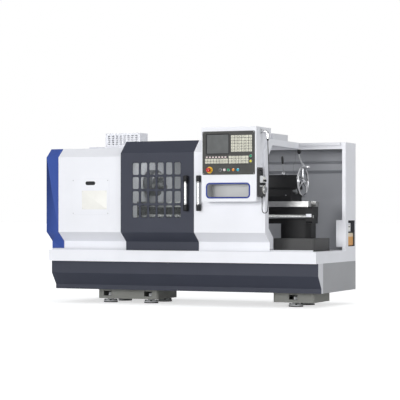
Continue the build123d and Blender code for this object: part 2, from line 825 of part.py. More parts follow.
with BuildPart() as screw_brackets:
    bracket_rear_y = bed_front_y + bed_wall_inset
    bracket_top_z = bed_top_z - way_height
    for left_x in screw_brackets_x:
        block((left_x, left_x + bracket_length), (screw_y - bracket_front, bracket_rear_y),
              (bracket_top_z - bracket_height - bracket_front, bracket_top_z))
    fillet(screw_brackets.edges().filter_by(Axis.X).group_by(Axis.Y)[0], bracket_front / 2)
    with BuildSketch(Plane.YZ.offset(screw_left_x)):
        with Locations((screw_y, screw_z)):
            Circle(screw_journal_radius + running_gap)
    extrude(amount=bed_right_x + bracket_length - screw_left_x, mode=Mode.SUBTRACT)
    block((bed_right_x, bed_right_x + bracket_length), (bracket_rear_y, bracket_rear_y + way_width),
          (screw_z, bracket_top_z))
save(screw_brackets.part, "screw_brackets")

# Saddle: bridges both ways, with an apron in front that holds the screw nut and a dovetail on top
saddle_bottom_z = bed_top_z + slide_gap
apron_y = bed_front_y - slide_gap
apron_bottom_z = saddle_bottom_z - apron_drop
saddle_front_y = apron_y - apron_thickness
saddle_rear_y = bed_rear_y + saddle_overhang
dovetail_top_z = saddle_top_z + dovetail_height
saddle_outline = [(saddle_front_y, apron_bottom_z), (apron_y, apron_bottom_z), (apron_y, saddle_bottom_z),
                  (saddle_rear_y, saddle_bottom_z), (saddle_rear_y, saddle_top_z),
                  (saddle_front_y, saddle_top_z)]
dovetail_outline = [(-dovetail_base_width / 2, saddle_top_z), (dovetail_base_width / 2, saddle_top_z),
                    (dovetail_top_width / 2, dovetail_top_z), (-dovetail_top_width / 2, dovetail_top_z)]
with BuildPart() as saddle:
    extrude(outline(Plane.YZ.offset(saddle_x), saddle_outline), saddle_length)
    dovetail = [(saddle_centre_x + x, z) for x, z in dovetail_outline]
    extrude(outline(Plane.XZ.offset(-saddle_front_y), dovetail), saddle_front_y - saddle_rear_y)
    with BuildSketch(Plane.YZ.offset(saddle_x)):
        with Locations((screw_y, screw_z)):
            Circle(screw_radius + running_gap)
    extrude(amount=saddle_length, mode=Mode.SUBTRACT)
save(saddle.part, "saddle")

# Cross slide on the dovetail
with BuildPart() as cross_slide:
    slide_half = cross_slide_width / 2
    groove_low = dovetail_base_width / 2 + 2 * slide_gap
    groove_high = dovetail_top_width / 2 + 2 * slide_gap
    groove_top_z = saddle_top_z + dovetail_height + slide_gap
    slide_outline = [(-slide_half, cross_slide_z), (-groove_low, cross_slide_z), (-groove_high, groove_top_z),
                     (groove_high, groove_top_z), (groove_low, cross_slide_z), (slide_half, cross_slide_z),
                     (slide_half, cross_slide_top_z), (-slide_half, cross_slide_top_z)]
    slide_points = [(saddle_centre_x + x, z) for x, z in slide_outline]
    slide_front_y = spindle_y - cross_slide_front
    extrude(outline(Plane.XZ.offset(-slide_front_y), slide_points), -cross_slide_length)
save(cross_slide.part, "cross_slide")

# Four-way tool turret: a square head on a round seat, a tool in each side and a round cap on top
turret_z = cross_slide_top_z + slide_gap
head_z = turret_z + turret_seat_height
with BuildPart() as tool_turret:
    turret_centre = (saddle_centre_x, turret_y)
    with Locations((*turret_centre, turret_z)):
        Cylinder(turret_seat_radius, turret_seat_height, align=upright)
    head = rounded(Plane.XY.offset(head_z), turret_width, turret_width, turret_corner, turret_centre)
    extrude(head, turret_height)
    with Locations((*turret_centre, head_z + turret_height)):
        Cylinder(turret_cap_radius, turret_cap_height, align=upright)
    tool_plane = Plane.XY.offset(spindle_z - tool_width)
    with BuildSketch(tool_plane):
        with Locations(turret_centre):
            with PolarLocations(turret_width / 2, tool_count):
                Rectangle(2 * tool_width, turret_width + 2 * overrun)
    extrude(amount=tool_width, mode=Mode.SUBTRACT)
    tool_middle = turret_width / 2 + (tool_reach - tool_width) / 2
    with BuildSketch(tool_plane):
        with Locations(turret_centre):
            with PolarLocations(tool_middle, tool_count):
                Rectangle(tool_reach + tool_width, tool_width)
    extrude(amount=tool_width)
save(tool_turret.part, "tool_turret")

# Tailstock base, clamped to the ways
with BuildPart() as tailstock_base:
    foot_half_width = tailstock_foot_width / 2
    base_half = tailstock_base_width / 2
    base_z = bed_top_z + slide_gap
    base_outline = [(-foot_half_width, base_z), (foot_half_width, base_z),
                    (foot_half_width, base_z + tailstock_foot_height), (base_half, tailstock_base_top_z),
                    (-base_half, tailstock_base_top_z), (-foot_half_width, base_z + tailstock_foot_height)]
    base_points = [(spindle_y + y, z) for y, z in base_outline]
    extrude(outline(Plane.YZ.offset(tailstock_x), base_points), tailstock_base_length)
save(tailstock_base.part, "tailstock_base")

# Tailstock body: a barrel on a tapering web, bored for the quill and its screw
lever_x = tailstock_body_x + lever_inset
lever_top_z = spindle_z + tailstock_barrel_radius
with BuildPart() as tailstock_body:
    with BuildSketch(Plane.YZ.offset(tailstock_body_x)):
        with Locations((spindle_y, spindle_z)):
            Circle(tailstock_barrel_radius)
        with Locations((spindle_y, tailstock_base_top_z + tailstock_body_foot / 2)):
            Rectangle(tailstock_body_width, tailstock_body_foot)
        make_hull()
    extrude(amount=tailstock_body_length)
    bore_end_x = tailstock_body_x + quill_depth + seat_gap
    quill_bore = quill_radius + running_gap
    screw_bore = wheel_shaft_radius + running_gap
    bore_half = [(tailstock_body_x, 0), (tailstock_body_x, quill_bore), (bore_end_x, quill_bore),
                 (bore_end_x, screw_bore), (tailstock_end_x, screw_bore), (tailstock_end_x, 0)]
    revolve(outline(spindle_plane, bore_half), axis=spindle_axis, mode=Mode.SUBTRACT)
    with Locations((lever_x, spindle_y, lever_top_z - lever_pin_depth)):
        pin_bore = lever_pin_radius + running_gap
        Cylinder(pin_bore, lever_pin_depth + overrun, align=upright, mode=Mode.SUBTRACT)
save(tailstock_body.part, "tailstock_body")

# Quill with a cone centre in its end
with BuildPart() as quill:
    quill_left_x = tailstock_body_x - quill_reach
    point_x = quill_left_x - centre_reach
    quill_right_x = tailstock_body_x + quill_depth
    cone_x = point_x + centre_radius / tan(radians(centre_half_angle))
    quill_half = [(point_x, 0), (cone_x, centre_radius), (quill_left_x, centre_radius),
                  (quill_left_x, quill_radius), (quill_right_x, quill_radius), (quill_right_x, 0)]
    revolve(outline(spindle_plane, quill_half), axis=spindle_axis)
save(quill.part, "quill")

# Handwheel: many-sided rim, three spokes, hub, crank handle and the shaft that drives the quill
with BuildPart() as handwheel:
    wheel_x = tailstock_end_x + wheel_set_out
    collar_x = tailstock_end_x + slide_gap
    hub_x = tailstock_end_x + wheel_collar_length
    shaft_half = [(bore_end_x, 0), (bore_end_x, wheel_shaft_radius), (collar_x, wheel_shaft_radius),
                  (collar_x, wheel_collar_radius), (hub_x, wheel_collar_radius), (hub_x, wheel_hub_radius),
                  (hub_x + wheel_hub_length, wheel_hub_radius), (hub_x + wheel_hub_length, 0)]
    revolve(outline(spindle_plane, shaft_half), axis=spindle_axis)
    with BuildSketch(spindle_plane):
        with Locations((wheel_x, wheel_radius - wheel_rim_radius)):
            RegularPolygon(wheel_rim_radius, rim_sides)
    revolve(axis=spindle_axis)
    for number in range(spoke_count):
        angle = radians(90 + number * 360 / spoke_count)
        toward = (0, cos(angle), sin(angle))
        with BuildSketch(Plane(origin=(wheel_x, spindle_y, spindle_z), x_dir=(1, 0, 0), z_dir=toward)):
            Circle(spoke_radius)
        extrude(amount=wheel_radius - wheel_rim_radius)
    with BuildSketch(Plane.YZ.offset(wheel_x)):
        with Locations((spindle_y, spindle_z + wheel_radius - wheel_rim_radius)):
            Circle(crank_radius)
    extrude(amount=crank_length)
save(handwheel.part, "handwheel")

# Quill clamp lever: a boss on the barrel, a leaning arm and its grip
with BuildPart() as clamp_lever:
    with Locations((lever_x, spindle_y, lever_top_z + slide_gap)):
        Cylinder(lever_boss_radius, lever_boss_height, align=upright)
        Cylinder(lever_pin_radius, lever_pin_depth - seat_gap, align=hanging)
    lean = radians(lever_lean)
    arm_foot = (lever_x, spindle_y, lever_top_z + lever_boss_height / 2)
    arm_plane = Plane(origin=arm_foot, x_dir=(1, 0, 0), z_dir=(0, -sin(lean), cos(lean)))
    with BuildSketch(arm_plane):
        Circle(lever_arm_radius)
    extrude(amount=lever_length)
    with BuildSketch(arm_plane.offset(lever_length - lever_grip_length)):
        Circle(lever_grip_radius)
    extrude(amount=lever_grip_length)
save(clamp_lever.part, "clamp_lever")

# Sliding guards: one folded sheet each, from the foot over the front and the roof to the rear rail
guard_line = [(guard_foot_y, guard_bottom_z), (guard_foot_y, guard_foot_top_z),
              (guard_front_y, guard_flare_top_z), (guard_front_y, guard_bevel_z),
              (guard_bevel_y, roof_front_z), (roof_rear_y, roof_rear_z)]
flange_foot_z = front_rail_top_z + rail_notch
flange_rear_y = rear_rail_y - rail_notch
roof_slope = roof_fall / (roof_rear_y - guard_bevel_y)
flange_rear_z = roof_front_z - roof_slope * (flange_rear_y - guard_bevel_y)
flange_line = [(guard_foot_y, flange_foot_z)] + guard_line[1:-1] + [(flange_rear_y, flange_rear_z)]
guard_bends = len(guard_line[1:])


def guard(left_x, width, right_flange_depths):
    """A guard sheet with a return flange at each end and two slide shoes on the front rail."""
    right_x = left_x + width
    with BuildPart() as shell:
        extrude(outline(Plane.YZ.offset(left_x), folded(guard_line, [sheet] * guard_bends)), width)
        extrude(outline(Plane.YZ.offset(left_x), folded(flange_line, [guard_flange] * guard_bends)), sheet)
        extrude(outline(Plane.YZ.offset(right_x - sheet), folded(flange_line, right_flange_depths)), sheet)
        shoe_y = (guard_foot_y + sheet, front_rail_y + front_rail_width + guard_gap + shoe_wall)
        groove_y = (front_rail_y - guard_gap, front_rail_y + front_rail_width + guard_gap)
        for shoe_x in (left_x + shoe_inset, right_x - shoe_inset - shoe_length):
            shoe_limits = (shoe_x, shoe_x + shoe_length)
            block(shoe_limits, shoe_y, (guard_bottom_z, guard_bottom_z + shoe_height))
            block(shoe_limits, groove_y, (guard_bottom_z, front_rail_top_z + guard_gap), Mode.SUBTRACT)
    return shell


left_door = guard(left_door_x, left_door_width, [guard_flange] * guard_bends)
with left_door:
    with BuildSketch(Plane.XZ.offset(-guard_front_y)) as window:
        with Locations((window_centre_x, window_centre_z)):
            with GridLocations(pane_pitch_x, pane_pitch_z, pane_columns, pane_rows):
                RectangleRounded(pane_width, pane_height, pane_corner)
    extrude(window.sketch, -sheet, mode=Mode.SUBTRACT)
save(left_door.part, "left_door")

right_flange_depths = [end_flange] * (guard_bends - 1) + [roof_flange]
save(guard(right_door_x, right_door_width, right_flange_depths).part, "right_door")

# Window pane behind the openings
with BuildPart() as door_window:
    glass_width = (pane_columns - 1) * pane_pitch_x + pane_width + 2 * glass_margin
    glass_height = (pane_rows - 1) * pane_pitch_z + pane_height + 2 * glass_margin
    glass_plane = Plane.XZ.offset(-guard_front_y - sheet)
    glass_centre = (window_centre_x, window_centre_z)
    extrude(rounded(glass_plane, glass_width, glass_height, pane_corner, glass_centre), -glass_thickness)
save(door_window.part, "door_window")


# Door handles: an upright tube between two end blocks
def handle(centre_x):
    top_z = handle_bottom_z + handle_length
    grip_y = guard_front_y - handle_reach + handle_tube_radius
    end_plane = Plane.XZ.offset(-guard_front_y)
    with BuildPart() as grip:
        for middle_z in (handle_bottom_z + handle_end_height / 2, top_z - handle_end_height / 2):
            place = (centre_x, middle_z)
            end = rounded(end_plane, handle_end_width, handle_end_height, handle_tube_radius, place)
            extrude(end, handle_reach)
        with BuildSketch(Plane.XY.offset(handle_bottom_z + handle_end_height / 2)):
            with Locations((centre_x, grip_y)):
                Circle(handle_tube_radius)
        extrude(amount=handle_length - handle_end_height)
    return grip.part


save(handle(left_door_x + left_door_width - handle_inset_left), "left_handle")
save(handle(right_door_x + handle_inset_right), "right_handle")

# Control box: hangs on the right door and reaches back over its bevel, open towards the door
box_roof_z = roof_front_z - roof_slope * (box_rear_y - guard_bevel_y)
box_outline = [(box_front_y, box_bottom_z), (guard_front_y, box_bottom_z), (guard_front_y, guard_bevel_z),
               (guard_bevel_y, roof_front_z), (box_rear_y, box_roof_z), (box_rear_y, box_top_z),
               (box_front_y, box_top_z)]
hollow_y = (box_front_y + box_wall, box_rear_y - box_wall)
hollow_z = (box_bottom_z + box_wall, box_top_z - box_wall)
hollow_outline = [(hollow_y[0], hollow_z[0]), (guard_front_y + overrun, hollow_z[0]),
                  (guard_front_y + overrun, guard_bevel_z - overrun), (guard_bevel_y, roof_front_z - overrun),
                  (hollow_y[1], roof_front_z - overrun), (hollow_y[1], hollow_z[1]),
                  (hollow_y[0], hollow_z[1])]
pocket_plane = Plane.XZ.offset(-box_front_y)
pocket_centre = (pocket_centre_x, pocket_centre_z)
panel_centre_x = panel_left_x + panel_width / 2
panel_centre_z = panel_top_z - panel_height / 2
with BuildPart() as control_box:
    extrude(outline(Plane.YZ.offset(box_left_x), box_outline), box_width)
    hollow = outline(Plane.YZ.offset(box_left_x + box_wall), hollow_outline)
    extrude(hollow, box_width - 2 * box_wall, mode=Mode.SUBTRACT)
    tub = (pocket_width + 2 * box_wall, pocket_height + 2 * box_wall)
    extrude(rounded(pocket_plane, *tub, pocket_corner + box_wall, pocket_centre), -(pocket_depth + box_wall))
    extrude(rounded(pocket_plane, pocket_width, pocket_height, pocket_corner, pocket_centre), -pocket_depth,
            mode=Mode.SUBTRACT)
    backing = (panel_width - 2 * panel_backing, panel_height - 2 * panel_backing)
    extrude(rounded(pocket_plane, *backing, panel_corner, (panel_centre_x, panel_centre_z)), -box_wall,
            mode=Mode.SUBTRACT)
save(control_box.part, "control_box")

# Raised rim round the pocket
with BuildPart() as pocket_trim:
    rim = (pocket_width + 2 * pocket_rim, pocket_height + 2 * pocket_rim)
    extrude(rounded(pocket_plane, *rim, pocket_corner + pocket_rim, pocket_centre), pocket_rim_stand)
    mouth = rounded(pocket_plane, pocket_width, pocket_height, pocket_corner, pocket_centre)
    extrude(mouth, pocket_rim_stand, mode=Mode.SUBTRACT)
save(pocket_trim.part, "pocket_trim")

# Control panel: a dark plate with a screen opening, button holes, two lamps and the stop button's ring
button_z = panel_top_z - button_line
side_button_x = panel_left_x + panel_width - side_button_inset
estop_x = panel_left_x + estop_place
button_places = {}
for name, share in button_place_shares.items():
    button_places[name] = (panel_left_x + panel_width * share, button_z)
button_places["start_button"] = (side_button_x, panel_top_z - side_button_lines[0])
button_places["hold_button"] = (side_button_x, panel_top_z - side_button_lines[1])
screen_x = (panel_left_x + screen_left, panel_left_x + screen_left + screen_width)
screen_z = (panel_top_z - screen_top - screen_height, panel_top_z - screen_top)
panel_plane = Plane.XZ.offset(-box_front_y)
face_plane = Plane.XZ.offset(-panel_face_y)
with BuildPart() as control_panel:
    panel_centre = (panel_centre_x, panel_centre_z)
    extrude(rounded(panel_plane, panel_width, panel_height, panel_corner, panel_centre), panel_thickness)
    with BuildSketch(face_plane):
        with Locations((estop_x, button_z)):
            Circle(estop_ring_radius)
    extrude(amount=estop_ring_height)
    with BuildSketch(face_plane):
        with Locations(*[(panel_left_x + panel_width * share, button_z) for share in lamp_place_shares]):
            Circle(lamp_radius)
    extrude(amount=lamp_height)
    with BuildSketch(panel_plane):
        with Locations(*button_places.values()):
            Circle(button_radius + guard_gap)
        with Locations((estop_x, button_z)):
            Circle(estop_stem_radius + guard_gap)
        with Locations(((screen_x[0] + screen_x[1]) / 2, (screen_z[0] + screen_z[1]) / 2)):
            Rectangle(screen_width, screen_height)
    extrude(amount=panel_thickness + estop_ring_height, mode=Mode.SUBTRACT)
save(control_panel.part, "control_panel")

# Screen: a plate in the opening, held by a lip behind the panel
with BuildPart() as lcd_screen:
    block((screen_x[0] + seat_gap, screen_x[1] - seat_gap), (panel_face_y + panel_thickness / 2, box_front_y),
          (screen_z[0] + seat_gap, screen_z[1] - seat_gap))
    block((screen_x[0] - screen_lip, screen_x[1] + screen_lip), (box_front_y, box_front_y + panel_thickness),
          (screen_z[0] - screen_lip, screen_z[1] + screen_lip))
save(lcd_screen.part, "lcd_screen")

# Panel keys: the keypad, a row of soft keys under the screen, the mode keys and the jog keys
def key_block(left, top, columns, rows, pitch_x, pitch_z, gap):
    """A grid of keys in the sketch being drawn, placed by its left and top edges on the panel."""
    with Locations((panel_left_x + left + columns * pitch_x / 2, panel_top_z - top - rows * pitch_z / 2)):
        with GridLocations(pitch_x, pitch_z, columns, rows):
            Rectangle(pitch_x - gap, pitch_z - gap)


with BuildPart() as panel_keys:
    with BuildSketch(face_plane):
        key_block(keypad_left, keypad_top, keypad_columns, keypad_rows, keypad_pitch_x,
                  keypad_pitch_z, key_gap)
        key_block(soft_key_left, soft_key_top, soft_key_count, 1, soft_key_pitch_x,
                  soft_key_pitch_z, soft_key_gap)
        key_block(mode_key_left, mode_key_top, mode_key_columns, mode_key_rows, mode_key_pitch_x,
                  mode_key_pitch_z, key_gap)
        key_block(jog_key_left, jog_key_top, jog_key_columns, jog_key_rows, jog_key_pitch_x,
                  jog_key_pitch_z, key_gap)
    extrude(amount=key_height)
save(panel_keys.part, "panel_keys")


# Push buttons: a cap through the panel with a retaining flange behind it
def button_half(head_radius, head_height, stand, stem_radius):
    flange_front = panel_thickness + slide_gap
    flange_rear = flange_front + button_flange_thickness
    points = [(0, -stand), (head_radius - button_edge, -stand), (head_radius, button_edge - stand),
              (head_radius, head_height - stand), (stem_radius, head_height - stand),
              (stem_radius, flange_front), (stem_radius + button_flange, flange_front),
              (stem_radius + button_flange, flange_rear), (0, flange_rear)]
    return [point for point, after in zip(points, points[1:] + points[:1]) if point != after]


def button(place, half):
    axis_plane = Plane(origin=(place[0], panel_face_y, place[1]), x_dir=(1, 0, 0), z_dir=(0, 0, 1))
    with BuildPart() as cap:
        revolve(outline(axis_plane, half), axis=Axis((place[0], panel_face_y, place[1]), (0, 1, 0)))
    return cap


push_half = button_half(button_radius, button_stand, button_stand, button_radius)
for name, place in button_places.items():
    cap = button(place, push_half)
    if name == "key_switch":
        with cap:
            block((place[0] - key_bar_width / 2, place[0] + key_bar_width / 2),
                  (panel_face_y - 2 * button_stand, panel_face_y - button_stand),
                  (place[1] - button_radius + button_edge, place[1] + button_radius - button_edge))
    save(cap.part, name)
estop_face = estop_stand + estop_head_height
estop_half = button_half(estop_head_radius, estop_head_height, estop_face, estop_stem_radius)
save(button((estop_x, button_z), estop_half).part, "estop_button")

# Cable duct behind the control box, on the right roof
with BuildPart() as cable_duct:
    duct_rear_y = box_rear_y + duct_length
    duct_rear_z = box_roof_z - roof_slope * duct_length
    duct_top_z = roof_front_z + duct_height
    duct_x = right_door_x + right_door_width - duct_width
    duct_line = [(box_rear_y, box_roof_z), (duct_rear_y, duct_rear_z), (duct_rear_y, duct_top_z),
                 (box_rear_y, duct_top_z)]
    extrude(outline(Plane.YZ.offset(duct_x), duct_line), duct_width)
    block((duct_x + sheet, duct_x + duct_width - sheet), (box_rear_y + sheet, duct_rear_y - sheet),
          (box_roof_z - overrun, duct_top_z - sheet), Mode.SUBTRACT)
save(cable_duct.part, "cable_duct")

# Hand-wheel pendant on its holder plate: two knobs above a dial that faces right
holder_y = box_front_y + holder_front_margin
dial_z = pendant_bottom_z + dial_lift
dial_axis = Axis((0, pendant_centre_y, dial_z), (1, 0, 0))
dial_plane = Plane(origin=(0, pendant_centre_y, dial_z), x_dir=(1, 0, 0), z_dir=(0, -1, 0))
with BuildPart() as mpg_pendant:
    holder_middle = (holder_y + holder_width / 2, holder_bottom_z + holder_height / 2)
    plate = rounded(Plane.YZ.offset(box_right_x), holder_width, holder_height, pendant_corner, holder_middle)
    extrude(plate, holder_thickness)
    pendant_middle = (pendant_centre_y, pendant_bottom_z + pendant_length / 2)
    pendant_plane = Plane.YZ.offset(pendant_back_x)
    body = rounded(pendant_plane, pendant_width, pendant_length, pendant_corner, pendant_middle)
    extrude(body, pendant_thickness)
    with BuildSketch(Plane.YZ.offset(pendant_face_x)):
        with Locations((pendant_centre_y, pendant_bottom_z + knob_lift)):
            with GridLocations(knob_spread, knob_spread, 2, 1):
                Circle(knob_radius)
    extrude(amount=knob_height)
    with BuildSketch(Plane.YZ.offset(pendant_face_x)):
        with Locations((pendant_centre_y, dial_z)):
            Circle(dial_spigot + running_gap)
    extrude(amount=-(dial_spigot_depth + seat_gap), mode=Mode.SUBTRACT)
    with Locations((cable_end_x, pendant_centre_y, cable_end_z)):
        Cylinder(gland_radius, gland_height, align=upright)
save(mpg_pendant.part, "mpg_pendant")

with BuildPart() as mpg_dial:
    dial_back_x = pendant_face_x + slide_gap
    dial_half = [(pendant_face_x - dial_spigot_depth, 0), (pendant_face_x - dial_spigot_depth, dial_spigot),
                 (dial_back_x, dial_spigot), (dial_back_x, dial_radius),
                 (dial_back_x + dial_height, dial_radius), (dial_back_x + dial_height, 0)]
    revolve(outline(dial_plane, dial_half), axis=dial_axis)
save(mpg_dial.part, "mpg_dial")

# Elbow conduit from the box's side, down to the cable's gland
with BuildPart() as conduit_elbow:
    with BuildLine():
        FilletPolyline((box_right_x, elbow_y, elbow_z), (elbow_x, elbow_y, elbow_z),
                       (elbow_x, elbow_y, cable_top_z + gland_height), radius=elbow_bend)
    with BuildSketch(Plane.YZ.offset(box_right_x)):
        with Locations((elbow_y, elbow_z)):
            Circle(elbow_radius)
    sweep()
    with BuildSketch(Plane.YZ.offset(box_right_x)):
        with Locations((elbow_y, elbow_z)):
            Circle(elbow_flange_radius)
    extrude(amount=elbow_flange_thickness)
    with Locations((elbow_x, elbow_y, cable_top_z)):
        Cylinder(gland_radius, gland_height, align=upright)
save(conduit_elbow.part, "conduit_elbow")

# Pendant cable: hangs from the elbow in one long loop and comes up to the pendant
cable_start = Vector(elbow_x, elbow_y, cable_top_z)
cable_end = Vector(cable_end_x, pendant_centre_y, cable_end_z)
cable_across = Vector(cable_end_x - elbow_x, pendant_centre_y - elbow_y, 0)
loop_radius = cable_across.length / 2
loop_centre = Vector(elbow_x, elbow_y, cable_bottom_z + loop_radius) + cable_across / 2
loop_points = []
for angle in cable_loop_angles:
    reach = loop_radius / cos(radians(cable_loop_angles[0]))
    sideways = cable_across.normalized() * (-reach * cos(radians(angle)))
    loop_points.append(loop_centre + sideways - Vector(0, 0, reach * sin(radians(angle))))
cable_lead_end = cable_start - Vector(0, 0, cable_lead)
cable_route = [cable_start, cable_lead_end]
for run in range(1, cable_runs):
    hang = cable_lead_end + (loop_points[0] - cable_lead_end) * (run / cable_runs)
    cable_route.append(hang + Vector(cable_bow * sin(pi * run / cable_runs), 0, 0))
cable_route += loop_points
cable_route.append((loop_points[-1] + cable_end) * 0.5 + Vector(cable_bow / 4, 0, 0))
cable_route.append(cable_end - Vector(0, 0, cable_lead))
cable_route.append(cable_end)
cable_radii = []
for before, here, after in zip(cable_route, cable_route[1:], cable_route[2:]):
    turn = (here - before).get_angle(after - here)
    shorter = min((here - before).length, (after - here).length)
    cable_radii.append(cable_bend_share * shorter / tan(radians(turn / 2)))
with BuildPart() as mpg_cable:
    with BuildLine():
        FilletPolyline(*cable_route, radius=cable_radii)
    with BuildSketch(Plane(origin=cable_start, z_dir=cable_route[1] - cable_start)):
        Circle(cable_radius)
    sweep()
save(mpg_cable.part, "mpg_cable")

# Headstock cover: one folded sheet from the tray over the front and back to the cabinet
cover_line = [(cover_foot_y, tray_top_z), (cover_foot_y, guard_foot_top_z),
              (cover_front_y, guard_flare_top_z), (cover_front_y, cover_bevel_z),
              (cover_bevel_y, cover_top_z), (rear_front_y, cover_top_z)]
cover_bends = len(cover_line[1:])
cover_section = folded(cover_line, [sheet] * cover_bends)
with BuildPart() as headstock_cover:
    extrude(outline(Plane.YZ.offset(cover_left_x), cover_section), cover_right_x - cover_left_x)
save(headstock_cover.part, "headstock_cover")

# Left end cover: the same profile, closed by the end wall
inner_line = cover_section[len(cover_line):][::-1]
wall_outline = inner_line + [(rear_front_y, tray_top_z)]
with BuildPart() as left_end_cover:
    extrude(outline(Plane.YZ.offset(-half_length), cover_section), end_cover_length)
    extrude(outline(Plane.YZ.offset(-half_length), wall_outline), sheet)
save(left_end_cover.part, "left_end_cover")

# Access panel on the headstock cover, with a recessed pull
hatch_left_x = -half_length + hatch_left
with BuildPart() as access_panel:
    hatch_plane = Plane.XZ.offset(-cover_front_y)
    hatch_centre = (hatch_left_x + hatch_width / 2, hatch_bottom_z + hatch_height / 2)
    extrude(rounded(hatch_plane, hatch_width, hatch_height, hatch_corner, hatch_centre), sheet)
    with BuildSketch(hatch_plane):
        with Locations((hatch_centre[0], hatch_bottom_z + hatch_height - latch_drop)):
            SlotOverall(latch_width, latch_height)
    extrude(amount=sheet, mode=Mode.SUBTRACT)
save(access_panel.part, "access_panel")

# Partition between headstock and work space, cut out round the spindle, the bed and the screw
with BuildPart() as spindle_partition:
    partition_plane = Plane.YZ.offset(cover_right_x - sheet)
    extrude(outline(partition_plane, wall_outline), sheet)
    cut_x = (cover_right_x - sheet, cover_right_x)
    block(cut_x, (screw_y - partition_front_margin, pedestal_rear_y + partition_front_margin),
          (tray_top_z, bed_top_z + partition_bed_gap), Mode.SUBTRACT)
    with BuildSketch(partition_plane):
        with Locations((spindle_y, spindle_z)):
            Circle(partition_hole_radius)
    extrude(amount=sheet, mode=Mode.SUBTRACT)
save(spindle_partition.part, "spindle_partition")

# Guard rails: a bar on the tray's lip, and a bar along the rear enclosure under the roofs
with BuildPart() as guard_rails:
    rail_x = (rail_end_inset - half_length, half_length - rail_end_inset - post_width)
    block(rail_x, (front_rail_y, front_rail_y + front_rail_width), (tray_top_z, front_rail_top_z))
    rear_rail_top_z = roof_rear_z - sheet - guard_gap
    block(rail_x, (rear_rail_y, rear_front_y), (rear_rail_top_z - rear_rail_height, rear_rail_top_z))
save(guard_rails.part, "guard_rails")

# Electrical cabinet: a sheet case open at the back, closed by a hinged door
cabinet_x = (-half_length, cabinet_right_x)
with BuildPart() as electrical_cabinet:
    block(cabinet_x, (cabinet_front_y, cabinet_rear_y), (tray_top_z, rear_top_z))
    block((cabinet_x[0] + cabinet_wall, cabinet_x[1] - cabinet_wall),
          (cabinet_front_y + cabinet_wall, cabinet_rear_y),
          (tray_top_z + cabinet_wall, rear_top_z - cabinet_wall), Mode.SUBTRACT)
save(electrical_cabinet.part, "electrical_cabinet")

with BuildPart() as cabinet_door:
    hinge_x = cabinet_x[0] + hinge_radius
    hinge_y = tray_rear_y - hinge_radius
    door_x = (hinge_x, cabinet_x[1] - guard_gap)
    door_z = (tray_top_z + guard_gap, rear_top_z - guard_gap)
    block(door_x, (cabinet_rear_y + guard_gap, tray_rear_y), door_z)
    block((door_x[0] + cabinet_door_thickness, door_x[1] - cabinet_door_thickness),
          (cabinet_rear_y + guard_gap, tray_rear_y - cabinet_door_wall),
          (door_z[0] + cabinet_door_thickness, door_z[1] - cabinet_door_thickness), Mode.SUBTRACT)
    with Locations((hinge_x, hinge_y, door_z[0])):
        Cylinder(hinge_radius, door_z[1] - door_z[0], align=upright)
save(cabinet_door.part, "cabinet_door")

# Vented resistor box on the cabinet
resistor_x = -half_length + resistor_left
resistor_y = cabinet_front_y + resistor_set_back
with BuildPart() as resistor_box:
    block((resistor_x, resistor_x + resistor_length), (resistor_y, resistor_y + resistor_depth),
          (rear_top_z, rear_top_z + resistor_height))
    block((resistor_x + cabinet_wall, resistor_x + resistor_length - cabinet_wall),
          (resistor_y + cabinet_wall, resistor_y + resistor_depth - cabinet_wall),
          (rear_top_z, rear_top_z + resistor_height - cabinet_wall), Mode.SUBTRACT)
    with BuildSketch(Plane.XZ.offset(-resistor_y)):
        with Locations((resistor_x + resistor_length / 2, rear_top_z + resistor_height / 2)):
            with GridLocations(vent_pitch_x, vent_pitch_z, vent_columns, vent_rows):
                Rectangle(vent_width, vent_height)
    extrude(amount=-resistor_depth, mode=Mode.SUBTRACT)
save(resistor_box.part, "resistor_box")

# Rear guard: front beam, top and back wall folded from one sheet, with a ledge along the back
ledge_top_z = rear_top_z - ledge_drop
ledge_y = tray_rear_y - ledge_depth
ledge_foot_z = ledge_top_z - 2 * ledge_slope - ledge_height
rear_line = [(rear_front_y, rear_top_z - rear_beam_height), (rear_front_y, rear_top_z),
             (tray_rear_y, rear_top_z), (tray_rear_y, ledge_top_z), (ledge_y, ledge_top_z - ledge_slope),
             (ledge_y, ledge_foot_z + ledge_slope), (tray_rear_y, ledge_foot_z), (tray_rear_y, tray_top_z)]
wall_x = half_length - post_width
with BuildPart() as rear_guard:
    rear_section = folded(rear_line, [sheet] * len(rear_line[1:]))
    extrude(outline(Plane.YZ.offset(cabinet_right_x), rear_section), wall_x - cabinet_right_x)
save(rear_guard.part, "rear_guard")

# Right end wall: a post flange, the wall, and a niche sunk into it for the lubricator
wall_line = [(wall_x, rear_front_y), (half_length, rear_front_y), (half_length, tray_rear_y),
             (wall_x, tray_rear_y)]
niche_y = rear_front_y + sheet
niche_top_z = niche_bottom_z + niche_height
cutout_y = rear_front_y + cutout_set_back
with BuildPart() as right_end_wall:
    wall_section = outline(Plane.XY.offset(tray_top_z), folded(wall_line[::-1], [sheet] * len(wall_line[1:])))
    extrude(wall_section, rear_top_z - tray_top_z)
    block((wall_x, half_length), (rear_front_y, tray_rear_y), (rear_top_z - sheet, rear_top_z))
    block((niche_x, half_length), (niche_y, niche_y + niche_width), (niche_bottom_z, niche_top_z))
    block((niche_x + sheet, half_length), (cutout_y, cutout_y + cutout_width),
          (niche_bottom_z + sheet, niche_top_z - sheet), Mode.SUBTRACT)
save(right_end_wall.part, "right_end_wall")

